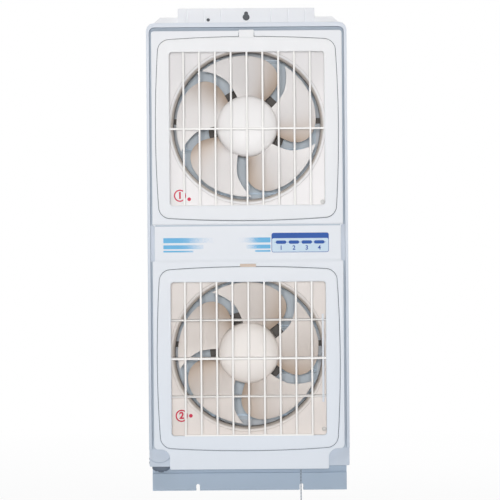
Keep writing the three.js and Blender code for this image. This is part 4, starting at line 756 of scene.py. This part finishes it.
def panel_outline(inset=0.0):
    """Half-widths, heights and corner radii of the panel, from the foot of the skirt up."""
    side, waist, skirt = PANEL_HALF - inset, WAIST_HALF - inset, SKIRT_HALF - inset
    right = [(skirt, SKIRT_FOOT_Z + inset, 2), (skirt, SKIRT_TOP_Z + inset, 12 + inset),
             (side, SKIRT_TOP_Z + inset, 6 - inset), (side, WAIST_FOOT_Z - inset, 1.4),
             (waist, WAIST_FOOT_Z - inset, 1.4), (waist, WAIST_TOP_Z + inset, 1.4),
             (side, WAIST_TOP_Z + inset, 1.4), (side, PANEL_TOP_Z - inset, 4)]
    return right, [(-x, z, radius) for x, z, radius in reversed(right)]


# %% Layers of the panel
PANEL_FRONT_Y, PANEL_BACK_Y, LEDGE_Y, PANEL_WALL = -50.0, -38.8, -46.5, 2.5
LEDGE_HALF_W, LEDGE_HALF_H, SEAM = 118.0, 119.0, 0.8
NOTCH_HALF, SLOT_FOOT_Z, SLOT_TOP_Z, SLOT_FLOOR_Y = 11.1, 314.6, 319.8, -48.6


def recess(grille_z, grow, cut_top=None):
    """Outline of a grille recess, counter-clockwise; cut_top adds the finger slot."""
    flat = side_by_side(GRILLE_HALF_W + grow, GRILLE_HALF_H + grow, GRILLE_BOW,
                        GRILLE_CORNER_R + grow)
    points = [(x, z + grille_z) for x, z in flat]
    if cut_top is None:
        return points
    top = [i for i, (x, z) in enumerate(points) if z > grille_z and abs(x) < NOTCH_HALF]
    level = points[top[0]][1]
    return (points[:top[0]] + [(NOTCH_HALF, level), (NOTCH_HALF, cut_top),
                               (-NOTCH_HALF, cut_top), (-NOTCH_HALF, level)]
            + points[top[-1] + 1:])


# %% [markdown]
# On the real panel the label band is set back, with a step above it and a long slope below.
# A separate sunken plate would leave a seam. Here the face is cut into level strips over the
# step and the slope, and their points are moved back by an eased share, so it stays one skin.

# %% Sunken label band
BAND_DEPTH = 1.1                          # mm; the walls behind the face leave no room for more
BAND_TOP, BAND_FOOT, BAND_CUTS = (374.6, 376.6), (321.2, 327.0), 9


def eased_share(value, start, end):
    """0 before start, 1 after end, and a smooth way between."""
    t = min(max((value - start) / (end - start), 0.0), 1.0)
    return t * t * (3 - 2 * t)


def level_cuts(bm, heights):
    """Cuts a mesh at heights in metres."""
    for height in heights:
        bmesh.ops.bisect_plane(bm, geom=bm.verts[:] + bm.edges[:] + bm.faces[:],
                               plane_co=(0, 0, height), plane_no=(0, 0, 1))


def sink_band(bm):
    """Sinks the label band into the face: a step above it, a long slope below it."""
    level_cuts(bm, [height * MM for span in (BAND_TOP, BAND_FOOT)
                    for height in np.linspace(*span, BAND_CUTS)])
    for vert in bm.verts:
        if vert.co.y < (PANEL_FRONT_Y + 1.0) * MM:
            height = vert.co.z / MM
            vert.co.y += BAND_DEPTH * MM * min(eased_share(height, *BAND_FOOT),
                                               eased_share(-height, -BAND_TOP[1], -BAND_TOP[0]))


# %% Panel
def panel():
    """The panel's face and walls, and the ledges whose edge is the dark seam: their dark grey is
    painted shade.
    """
    right, left = panel_outline()
    upper = recess(FANS["upper"]["grille"], SEAM, cut_top=PANEL_TOP_Z)
    lower = recess(FANS["lower"]["grille"], SEAM, cut_top=SLOT_TOP_Z)
    gap = upper.index((NOTCH_HALF, PANEL_TOP_Z))
    around = upper[gap + 2:] + upper[:gap]          # the recess without the notch's ends
    notched = [(NOTCH_HALF, PANEL_TOP_Z)] + around[::-1] + [(-NOTCH_HALF, PANEL_TOP_Z)]
    outline = filleted(right + [(x, z, 0) for x, z in notched] + left)
    face = plate("panel_face", [outline, lower[::-1]], PANEL_FRONT_Y, LEDGE_Y, 0.6, 4)
    reworked(face, sink_band)
    outer, inner = (filleted(a + b) for a, b in (panel_outline(0.05), panel_outline(PANEL_WALL)))
    walls = plate("panel_walls", [outer, inner[::-1]], PANEL_FRONT_Y + 1.2, PANEL_BACK_Y, 0.3)
    ledges = [plate(f"panel_ledge_{side}", [
        recess(fan["grille"], SEAM + 2.0),
        round_rect(-LEDGE_HALF_W, LEDGE_HALF_W, fan["grille"] - LEDGE_HALF_H,
                   fan["grille"] + LEDGE_HALF_H, 3)[::-1]],
        LEDGE_Y - 0.01, LEDGE_Y + PANEL_WALL, 0.3) for side, fan in FANS.items()]
    return joined("moulded_front_panel", face, walls), joined("panel_ledges", *ledges)


panel_piece, ledge_piece = panel()
dress(panel_piece, panel_white, "white_panel", "casing", "front_panel")
# The ledges are dark grey as painted shade, for the shade in the seam round each grille.
dress(ledge_piece, seam_shade_grey, "white_panel", "casing")
# The finger slot's floor is tan as painted shade, for the warm shade inside the notch.
slot_floor = plate("finger_slot_floor", [
    rectangle(-NOTCH_HALF, NOTCH_HALF, SLOT_FOOT_Z, SLOT_TOP_Z)], SLOT_FLOOR_Y, LEDGE_Y, 0.2, 2)
dress(slot_floor, slot_shade_tan, "white_panel", "casing")
print("panel faces:", len(panel_piece.data.polygons))

# %% [markdown]
# ## The propellers
#
# Five sickle blades leave a hub with a domed cap. On the real fan each blade is one smooth
# sheet: a rounded lobe runs ahead, a long point trails, and the blade rises from back to
# front as it goes. A lofted grid between two edge curves gives exactly that, and a thickness
# that dies away at the rim gives it a real edge.

# %% Blade edges
LOBE_EDGE = [(40, 8), (60, 5), (72, 6), (82, 9.5), (90, 15), (95, 21.5), (98, 29), (100, 42)]
POINT_EDGE = [(40, 60), (60, 64), (70, 66.5), (80, 71), (90, 76), (100, 81.5)]
HUB_R, ROOT_R, TIP_R = 43.0, 40.5, 100.0
BLADE_FRONT_Y, BLADE_REAR_Y, BLADE_THICKNESS = -4.0, 20.0, 2.2
BLADE_COUNT = 5
BLADE_PITCH = 360 / BLADE_COUNT           # degrees


def eased(knots, radius):
    """A smooth curve through [radius, angle] knots."""
    xs = np.array([k[0] for k in knots], float)
    ys = np.array([k[1] for k in knots], float)
    slopes = np.gradient(ys, xs)
    i = int(np.clip(np.searchsorted(xs, radius) - 1, 0, len(xs) - 2))
    h = xs[i + 1] - xs[i]
    t = (radius - xs[i]) / h
    return ((2 * t**3 - 3 * t**2 + 1) * ys[i] + (t**3 - 2 * t**2 + t) * h * slopes[i]
            + (-2 * t**3 + 3 * t**2) * ys[i + 1] + (t**3 - t**2) * h * slopes[i + 1])


# %% Blade grid
ROWS, ACROSS = 26, 22                     # from root to tip, and from lobe to point
RISE_START, RISE_LIMIT = 5, 1.06          # degrees, and how far past its front it may rise
CAMBER = 3                                # mm


def blade(name, gap_deg, index, axis_z):
    """One sickle blade as a closed grid."""
    radii = ROOT_R + (TIP_R - ROOT_R) * (1 - (1 - np.linspace(0, 1, ROWS)) ** 1.7)
    skins = {-0.5: [], 0.5: []}
    for side_of in skins:
        for radius in radii:
            start, end = eased(LOBE_EDGE, radius), eased(POINT_EDGE, radius)
            for s in (1 - np.cos(np.linspace(0, math.pi, ACROSS))) / 2:
                local = start + (end - start) * s
                angle = math.radians(gap_deg + index * BLADE_PITCH + local)
                risen = min(max((local - RISE_START) / BLADE_PITCH, 0.0), RISE_LIMIT)
                camber = CAMBER * math.sin(math.pi * min(risen, 1.0))
                taper = 1 - 0.45 * (radius - HUB_R) / (TIP_R - HUB_R)
                rim = min(1.0, 0.42 + 3.2 * min(s, 1 - s), 0.42 + (TIP_R - radius) / 6)
                y = (BLADE_REAR_Y - (BLADE_REAR_Y - BLADE_FRONT_Y) * risen - camber
                     + side_of * BLADE_THICKNESS * taper * rim)
                skins[side_of].append((radius * MM * math.cos(angle), y * MM,
                                       axis_z * MM + radius * MM * math.sin(angle)))
    points = skins[-0.5] + skins[0.5]
    half = ROWS * ACROSS
    faces = []
    for row in range(ROWS - 1):
        left, right = row * ACROSS, (row + 1) * ACROSS - 1
        for a in range(left, right):
            faces.append((a, a + ACROSS, a + ACROSS + 1, a + 1))
            faces.append((half + a, half + a + 1, half + a + ACROSS + 1, half + a + ACROSS))
        faces.append((left, half + left, half + left + ACROSS, left + ACROSS))
        faces.append((right, right + ACROSS, half + right + ACROSS, half + right))
    for i in range(ACROSS - 1):
        tip = (ROWS - 1) * ACROSS + i
        faces.append((i, i + 1, half + i + 1, half + i))
        faces.append((tip, half + tip, half + tip + 1, tip + 1))
    return finish_mesh(mesh_piece(name, points, faces), 50)


# %% Hub and whole propeller
def hub(name, axis_z):
    """The hub: a domed cap, a shallow step at its rim and a drafted skirt."""
    front, back = -8.0, 22.0
    dome = [(HUB_R * 0.965 * math.sin(a), front + 5.2 * (1 - math.cos(a)))
            for a in np.linspace(0, math.pi / 2.15, 14)]
    profile = dome + [(41.9, -2.6), (42.6, -1.9), (43.0, -0.8), (44.0, back), (40.8, back),
                      (38.8, 4.2), (32.8, 1.2), (8.0, 1.2), (8.0, back + 2), (4.3, back + 2),
                      (4.3, 1.3), (0.0, 1.3)]
    return turned(name, profile, (0, 0, axis_z * MM))


for side, fan in FANS.items():
    blades = [blade(f"{side}_blade_{i}", fan["gap"], i, fan["axis"])
              for i in range(BLADE_COUNT)]
    propeller = joined(f"{side}_sickle_propeller", hub(f"{side}_hub", fan["axis"]), *blades)
    dress(propeller, blade_ivory[side], "ivory", f"{side}_fan", f"{side}_propeller")
    print(side, "propeller faces:", len(propeller.data.polygons))

# %% [markdown]
# ## The ducts
#
# Behind each grille lies an ivory tray with a round mouth. Its lip curls forward round the
# blade tips and runs back as a short throat. Walls and floor are plates with a hole, and the
# mouth is a turned ring, so that its lip is truly round.

# %% Duct pieces
ORIFICE_HALF, MOUTH_R, MOUTH_FLARE = 118.0, 104.0, 6.0
TRAY_WALL, FACE_INSET, RIM_R = 2, 1.6, MOUTH_R + MOUTH_FLARE
PLATE_FRONT_Y, PLATE_BACK_Y, THROAT_END_Y, TRAY_FRONT_Y = -6.0, -4.0, 14.0, -35.7
LIP_FRONT_Y, LIP_DEPTH = -8.0, 7.0


def duct(name, axis_z):
    """Tray walls, plate and bell mouth of one fan."""
    low, high = axis_z - ORIFICE_HALF, axis_z + ORIFICE_HALF
    inner, face_half = ORIFICE_HALF - TRAY_WALL, ORIFICE_HALF - FACE_INSET
    tray = plate(f"{name}_walls", [
        round_rect(-ORIFICE_HALF, ORIFICE_HALF, low, high, 4),
        round_rect(-inner, inner, low + TRAY_WALL, high - TRAY_WALL, 3)[::-1]],
        TRAY_FRONT_Y, PLATE_BACK_Y, 0.4)
    face = plate(f"{name}_face", [
        round_rect(-face_half, face_half, low + FACE_INSET, high - FACE_INSET, 3),
        circle(0, axis_z, RIM_R - 0.4)[::-1]], PLATE_FRONT_Y, PLATE_BACK_Y, 0.3)
    lip = [(MOUTH_R + MOUTH_FLARE * (1 - math.cos(a)),
            LIP_FRONT_Y + LIP_DEPTH * (1 - math.sin(a)))
           for a in np.linspace(0, math.pi / 2, 12)]
    back = [(RIM_R + 0.9, -7.7), (RIM_R + 1.2, -6.8), (RIM_R + 1.2, -5.0),
            (MOUTH_R + 2, -2.5), (MOUTH_R + 2, THROAT_END_Y)]
    ring = turned(f"{name}_mouth", [(MOUTH_R, THROAT_END_Y)] + lip + back,
                  (0, 0, axis_z * MM), steps=160)
    return joined(name, tray, face), even_shading(ring)


for side, fan in FANS.items():
    piece, mouth = duct(f"{side}_duct", fan["axis"])
    dress(piece, duct_ivory[side], "ivory", "casing", f"{side}_orifice")
    dress(mouth, mouth_ivory[side], "ivory", "casing")

# %% [markdown]
# ## Casing, shutters, vanes and brackets
#
# These are mouldings and folded sheet with flat faces, so their CAD solids already have the
# right form. Rounding their edges by half a millimetre is what makes them catch light as a
# real moulding does.
#
# A narrow groove runs between the rim of the tray and the panel, and it looks darker than the
# rest. Plain shade is too weak there, so the faces inside it get a second, darker finish of
# painted shade. Level cuts end it at the waist and at the skirt, where the panel steps away from
# the rim.

# %% Groove of the frame
GROOVE_SPANS = [(0.0615, 0.3235), (0.3745, 0.6545)]    # below and above the panel's waist
GROOVE_REACH_X, RIM_BACK_Y, GROOVE_BACK_Y = 0.1385, -0.0476, -0.030


def shade_groove(bm):
    """Gives the frame's inner walls and floor beside the panel their second finish, of painted
    shade.
    """
    level_cuts(bm, sorted(sum(GROOVE_SPANS, ()))[:3])
    for face in bm.faces:
        x, y, z = face.calc_center_bounds()
        if (abs(x) < GROOVE_REACH_X and RIM_BACK_Y < y < GROOVE_BACK_Y
                and any(low < z < high for low, high in GROOVE_SPANS)):
            face.material_index = 1
    print("groove faces:", sum(face.material_index for face in bm.faces))


# %% Softened pieces
softened_list = [                         # node, its round edge in mm, finish and slot
    ("front_frame", 0.7, frame_grey, "frame_grey"),
    ("rear_housing", 0.7, housing_grey, "shutter_blue"),
    ("bottom_bracket", 0.35, bracket_blue, "rail_blue"),
    ("top_rail", 0.7, grille_white, "white_panel"),
    ("top_bracket", 0.4, panel_white, "white_panel"),
    ("vane_rod", 0.25, grille_white, "grille_white")]
softened_list += [(f"air_vane_{i}", 0.3, bar_white, "grille_white") for i in (1, 2, 3)]
for side in FANS:
    # The shutter frames and slats take the paler blue of painted light.
    softened_list += [(f"{side}_shutter_frame", 0.4, lit_slat_blue, "shutter_blue"),
                      (f"{side}_shutter_link", 0.2, shutter_blue, "shutter_blue"),
                      (f"{side}_motor_stay", 0.3, motor_black, "dark_steel")]
    softened_list += [(f"{side}_shutter_slat_{i}", 0.25, lit_slat_blue, "shutter_blue")
                      for i in (1, 2, 3)]
for node, edge, finish, slot in softened_list:
    body = node if node in frame["bodies"] else "casing"       # what moves has its own body
    piece = dress(softened(node, edge), finish, slot, body, node)
    if node == "front_frame":
        piece.data.materials.append(groove_shade_grey)
        reworked(piece, shade_groove)
print("softened pieces:", len(softened_list))

# %% [markdown]
# Two holes of the top plate look dark in the photograph. What lies behind them can't be seen, so
# a small dark pad closes each one from behind. The pads' dark colour is painted shade.

# %% Dark pads behind the keyhole and the pilot hole
PAD_FRONT_Y, PAD_BACK_Y = -27.6, -26.6
for name, span in (("keyhole_pad", (-7.5, 7.5, 658.5, 676)),
                   ("pilot_pad", (-57, -49.6, 658.8, 666.2))):
    pad = plate(name, [round_rect(*span, 1.5)], PAD_FRONT_Y, PAD_BACK_Y, 0.2, 2)
    dress(pad, dark_plastic, "dark_plastic", "casing")
    print(name, "width:", round(span[1] - span[0], 1), "mm")

# %% [markdown]
# The motors, the switch and the small electric parts hardly show. Their CAD solids already
# have the right form, so they keep it, and only their material slots get a finish.

# %% Finishes of the pieces that stay as the CAD made them
kept = {"pull_switch": dark_plastic, "switch_lever": grille_white, "cord_guide": grille_white,
        "run_capacitor": panel_white, "terminal_block": dark_plastic,
        "mains_gland": dark_plastic, "left_bracket_screw": bright_steel,
        "right_bracket_screw": bright_steel}
for side in FANS:
    kept.update({f"{side}_shaft": bright_steel, f"{side}_rotor": motor_black,
                 f"{side}_stator": winding_copper})
    for face in ("front", "rear"):
        kept.update({f"{side}_{face}_bearing": bearing_bronze,
                     f"{side}_motor_{face}_shell": motor_black})
for node, finish in kept.items():
    for material_slot in nodes[node].material_slots:
        material_slot.material = finish
print("nodes kept as they are:", len(kept))

# %% [markdown]
# ## Small turned pieces
#
# The clamp knob, the screws, the ball on the cord and the cord's knob are all round. A profile
# swept round an axis gives each one its soft edges.

# %% Screws
SCREW_R, SHANK_R, SCREW_FRONT_Y = 3.2, 1.5, -7.9
SCREW_X, SCREW_DROP = 106, 108            # mm from the fan's axis


def pan_screw(name, centre):
    """A pan head on its shank, seen from -Y."""
    profile = [(0.0, 0.0), (SCREW_R * 0.55, 0.1), (SCREW_R * 0.86, 0.5), (SCREW_R, 1.3),
               (SCREW_R, 1.6), (SHANK_R, 1.6), (SHANK_R, 22.0), (0.0, 22.6)]
    return turned(name, [(r, SCREW_FRONT_Y + deep) for r, deep in profile], centre, steps=40)


for side, fan in FANS.items():
    screw = pan_screw(f"{side}_duct_screw", (SCREW_X * MM, 0, (fan["axis"] - SCREW_DROP) * MM))
    dress(screw, screw_paint, "bright_steel", "casing", f"{side}_orifice_screw")

# %% Clamp knob
KNOB_X, KNOB_Z, KNOB_R = -124.2, 44.8, 16.7
FLUTES, FLUTE_DEPTH = 10, 1.4


def fluted_knob(name):
    """A knob with ten finger flutes and a stud behind it."""
    steps, loops = 200, []
    for radius, y, depth in [(0.0, -34.0, 0), (KNOB_R - 3.4, -34.0, 0), (KNOB_R - 2.2, -33.8, 0),
                             (KNOB_R - 0.8, -32.9, 0.5), (KNOB_R, -31.6, 1.0),
                             (KNOB_R, -23.0, 1.0), (KNOB_R - 0.9, -22.1, 1.0), (5.0, -22.0, 0),
                             (3.0, -21.6, 0), (3.0, 16.2, 0), (2.4, 16.8, 0), (0.0, 16.8, 0)]:
        loop = []
        for k in range(steps):
            angle = 2 * math.pi * k / steps
            flute = max(0.0, math.cos(FLUTES * angle)) ** 3
            r = radius - FLUTE_DEPTH * depth * flute
            loop.append(((KNOB_X + r * math.cos(angle)) * MM, y * MM,
                         (KNOB_Z + r * math.sin(angle)) * MM))
        loops.append(loop)
    return lofted(name, loops)


dress(fluted_knob("fluted_clamp_knob"), knob_blue, "dark_plastic", "clamp_knob", "clamp_knob")

# %% Ball and knob on the cord
BALL_R, HANDLE_STEPS = 3.0, 64
cord_centre = (CORD_X, CORD_Y, 0.0)
ball_z = CORD_TOP_Z / MM + BALL_R + 0.3
ball = turned("cord_ball", [(BALL_R * math.sin(a), ball_z - BALL_R * math.cos(a))
                            for a in np.linspace(0, math.pi, 18)], cord_centre, "Z", 40)
dress(ball, bright_steel, "bright_steel", "pull_cord", "cord_stop")
knob_top = CORD_END_Z / MM - 0.3
knob_profile = [(0.0, 24), (3.6, 24), (5.0, 23.6), (5.9, 22.4), (6.0, 20.5), (5.6, 14),
                (4.6, 7), (3.4, 2.4), (2.7, 0.6), (2.2, 0), (0.0, 0)]
handle = turned("cord_handle", [(r, knob_top - down) for r, down in knob_profile],
                cord_centre, "Z", HANDLE_STEPS)
dress(handle, panel_white, "white_panel", "pull_cord", "cord_knob")
dress(pull_cord, cord_braid, "cord", "pull_cord", "pull_cord")

# %% [markdown]
# ## The label band
#
# The band carries a legend panel with four marked positions of the pull switch, and plain colour
# stripes that fade out. They could be painted in a material. Thin plates on the panel were
# chosen, so that the marks have crisp edges and are real geometry. One more plate, a grey line,
# stands for the shade at the foot of the step above the band.

# %% Legend panel
LABEL_Y, LAYER = PANEL_FRONT_Y + BAND_DEPTH, 0.12      # the band's face, and mm of each layer
OVALS = [46.3, 64.3, 82.2, 99.7]          # middles of the four keys
OVAL_HALF_W, STEP_LINE_HALF_W, STEP_LINE_HEIGHT = 7.3, 129, 2.0


def sticker(name, outline, level, finish):
    """A thin printed layer on the panel's face; level counts layers outwards."""
    obj = plate(name, [outline], LABEL_Y - LAYER * level, LABEL_Y + 0.3, 0.03, 1)
    return dress(obj, finish, "white_panel", "casing")


sticker("band_step_line", rectangle(-STEP_LINE_HALF_W, STEP_LINE_HALF_W,
                                    BAND_TOP[0] - STEP_LINE_HEIGHT, BAND_TOP[0]), 1, step_grey)
sticker("legend_border", round_rect(33, 113, 335.5, 362.8, 3.0), 1, legend_blue)
sticker("legend_field", round_rect(33.7, 112.3, 336.2, 355.2, 2.2), 2, legend_light)
sticker("legend_rule", round_rect(37, 109, 349.5, 349.9, 0.1, 2), 3, legend_blue)
for i, x in enumerate(OVALS, 1):
    sticker(f"legend_oval_{i}", round_rect(x - OVAL_HALF_W, x + OVAL_HALF_W, 347.4, 352.0, 2.25),
            4, legend_blue)
print("legend marks:", len(OVALS))

# %% [markdown]
# The numbers are text turned into a mesh. The outline is moved out by a fraction of a
# millimetre, because the plain font is too thin to read at this size.

# %% Plain numbers
def number(name, text, x, z, height_mm, front_mm, finish, bolder_mm):
    """A plain number as a thin solid."""
    curve = bpy.data.curves.new(name, "FONT")
    curve.body = text
    curve.align_x, curve.align_y = "CENTER", "CENTER"
    curve.size = height_mm * MM * 1.4
    curve.extrude = 0.00008
    curve.offset = bolder_mm * MM
    maker = placed(f"{name}_maker", curve)
    bpy.context.view_layer.update()
    mesh = bpy.data.meshes.new_from_object(
        maker.evaluated_get(bpy.context.evaluated_depsgraph_get()))
    bpy.data.objects.remove(maker)
    mesh.transform(Matrix.Translation((x * MM, front_mm * MM, z * MM))
                   @ Matrix.Rotation(math.radians(90), 4, "X"))
    mesh.materials.clear()
    return dress(finish_mesh(placed(name, mesh)), finish, "white_panel", "casing")


for i, x in enumerate(OVALS, 1):
    number(f"legend_number_{i}", str(i), x, 341.7, 6.0, LABEL_Y - 0.3, legend_blue, 0.2)

# %% [markdown]
# A small red mark sits in the lower left corner of each duct. It is made as a plain ring with
# a number, and a dot beside it, from the same kind of thin plates as the legend.

# %% Red rings and dots of the ducts
RING_X, DOT_X = -95.5, -82.5
for side, (z, drop, text) in {"upper": (416.5, 5.0, "1"), "lower": (105.5, 0.0, "2")}.items():
    ring = [circle(RING_X, z, 8.6, 48), circle(RING_X, z, 6.8, 48)[::-1]]
    dot = circle(DOT_X, z - drop, 2.6, 32)
    for name, outlines in (("red_ring", ring), ("red_dot", [dot])):
        mark = plate(f"{side}_{name}", outlines, PLATE_FRONT_Y - 0.15, PLATE_FRONT_Y + 0.2,
                     0.05, 1)
        dress(mark, legend_red, "ivory", "casing")
    number(f"{side}_red_number", text, RING_X, z, 9.4, PLATE_FRONT_Y - 0.1, legend_red, 0.5)

# %% [markdown]
# ## Fading stripes
#
# The stripes are printed as dots that thin out. One small finish does it: a dot pattern in
# the material compares the distance to the nearest dot with a radius that shrinks along X.

# %% Dotted fade
DOT_PITCH, FULL_DOT = 0.9 * MM, 0.78      # metres, and the dot's radius as a share of it


def dotted_fade(name, ink, paper, x_full, x_bare):
    """Round dots whose size falls from x_full to x_bare, in metres."""
    material, tree, surface = grained(name, 0.5)
    fade = group_node(tree, depth_group, Axis_X=1.0, Axis_Y=0.0,
                      Near=min(x_full, x_bare), Far=max(x_full, x_bare))
    near, far = (FULL_DOT, 0.0) if x_full < x_bare else (0.0, FULL_DOT)
    size = new_node(tree, "MapRange", To_Min=near, To_Max=far)
    place = new_node(tree, "TexCoord")
    turn = new_node(tree, "Mapping", Rotation=(0.0, math.radians(45), 0.0),
                    Scale=(1 / DOT_PITCH, 0.0, 1 / DOT_PITCH))
    cell = new_node(tree, "VectorMath", operation="FRACTION")
    centre = new_node(tree, "VectorMath", operation="SUBTRACT")
    centre.inputs[1].default_value = (0.5, 0.0, 0.5)
    reach = new_node(tree, "VectorMath", operation="LENGTH")
    inside = new_node(tree, "Math", operation="LESS_THAN")
    mix = two_tones(tree, paper, ink)
    wire(tree, (place, "Object", turn, "Vector"), (turn, 0, cell, 0), (cell, 0, centre, 0),
         (centre, 0, reach, 0), (fade, "Mask", size, "Value"), (reach, "Value", inside, 0),
         (size, 0, inside, 1), (inside, 0, mix, 0), (mix, 2, surface, "Base Color"))
    return material


sky, paper = seen(96, 180, 226), seen(236, 239, 245)
left_fade = dotted_fade("left_fade", sky, paper, -0.118, -0.030)
right_fade = dotted_fade("right_fade", sky, paper, 0.031, -0.020)
for i, (low, high) in enumerate([(349.5, 356.5), (341.0, 346.5), (336.5, 338.8)], 1):
    sticker(f"left_stripe_{i}", round_rect(-118, -34 - 14 * i, low, high, 0.6), 1, left_fade)
    sticker(f"right_stripe_{i}", round_rect(-26 + 12 * i, 31.5, low, high, 0.6), 1, right_fade)
print("stripes:", 2 * i)

# %% [markdown]
# ## Floor and light
#
# The picture has a bare white ground and even light that comes from above and in front. A
# wall behind the object would hide it from the back, so there is only a wide floor, and the
# world itself looks white to the camera and to reflections. Near the foot the floor keeps
# a share of its own light, so the object's shadow shows there. Far out it is all white, and
# no horizon shows.

# %% White to the camera
def white_to_camera(tree, lit, glow, share=None):
    """Mixes a lit shader with a white one for camera, glossy and transmission rays."""
    path = new_node(tree, "LightPath")
    seen_by = path.outputs["Is Camera Ray"]
    for ray in ("Is Glossy Ray", "Is Transmission Ray"):
        either = new_node(tree, "Math", operation="MAXIMUM")
        tree.links.new(seen_by, either.inputs[0])
        tree.links.new(path.outputs[ray], either.inputs[1])
        seen_by = either.outputs[0]
    keep = new_node(tree, "Math", operation="MULTIPLY")
    keep.inputs[1].default_value = 1.0
    if share:
        wire(tree, (share, 0, keep, 1))
    blend = new_node(tree, "MixShader")
    tree.links.new(seen_by, keep.inputs[0])
    wire(tree, (keep, 0, blend, 0), (lit, 0, blend, 1), (glow, 0, blend, 2))
    return blend


# %% Floor
FLOOR_Z, FLOOR_REACH = -0.100, 30.0
NEAR_SHARE = 0.86                         # of white at the foot; the rest shows the shadow
SHADOW_REACH = (0.3, 2.5)                 # metres over which the floor goes all white
ground = bpy.data.materials.new("ground_white")
ground.use_nodes = True
tree = ground.node_tree
tree.nodes.clear()
ground_out = new_node(tree, "OutputMaterial")
place = new_node(tree, "TexCoord")
from_foot = new_node(tree, "VectorMath", operation="LENGTH")
white_share = new_node(tree, "MapRange", From_Min=SHADOW_REACH[0], From_Max=SHADOW_REACH[1],
                       To_Min=NEAR_SHARE, To_Max=1.0)
mixed = white_to_camera(tree, new_node(tree, "BsdfDiffuse", Color=seen(244, 244, 245)),
                        new_node(tree, "Emission", Color=(1, 1, 1, 1), Strength=1.0),
                        white_share)
wire(tree, (place, "Object", from_foot, 0), (from_foot, "Value", white_share, "Value"),
     (mixed, 0, ground_out, "Surface"))
studio = mesh_piece("studio_floor", [(x * FLOOR_REACH, y * FLOOR_REACH, FLOOR_Z) for x, y in
                                     ((-1, -1), (1, -1), (1, 1), (-1, 1))], [(0, 1, 2, 3)])
studio.data.materials.append(ground)
print("floor at", FLOOR_Z, "m")

# %% [markdown]
# A small lamp far in front gives the main light. A large one there would blur the shade of
# the bars, so the large ones only fill the top, the sides and the back.

# %% Lamps
def lamp(name, place, target, size, power):
    """A soft square lamp that points at a target."""
    data = bpy.data.lights.new(name, "AREA")
    data.shape, data.size, data.energy = "SQUARE", size, power
    obj = placed(name, data)
    obj.location = place
    obj.rotation_euler = (Vector(target) - Vector(place)).to_track_quat("-Z", "Y").to_euler()


lamp("front_lamp", (-0.03, -3.9, 0.40), (0, 0, 0.33), 0.3, 58)
lamp("top_lamp", (-0.4, -1.7, 2.4), (0, 0, 0.40), 1.0, 15)
lamp("left_lamp", (-2.3, 0.3, 0.9), (0, 0, 0.35), 1.2, 17)
lamp("right_lamp", (2.3, 0.3, 0.9), (0, 0, 0.35), 1.2, 13)
lamp("rear_lamp", (0.4, 2.2, 1.2), (0, 0, 0.35), 1.2, 20)
print("lamps:", len(bpy.data.lights))

# %% World
world = bpy.data.worlds.new("studio_world")
bpy.context.scene.world = world
world.use_nodes = True
tree = world.node_tree
soft_light = tree.nodes["Background"]
soft_light.inputs["Color"].default_value = (0.93, 0.96, 1.0, 1.0)
soft_light.inputs["Strength"].default_value = 0.15
white = new_node(tree, "Background", Color=(1, 1, 1, 1), Strength=1.0)
wire(tree, (white_to_camera(tree, soft_light, white), 0, tree.nodes["World Output"], "Surface"))
bpy.context.scene.view_settings.view_transform = "Standard"
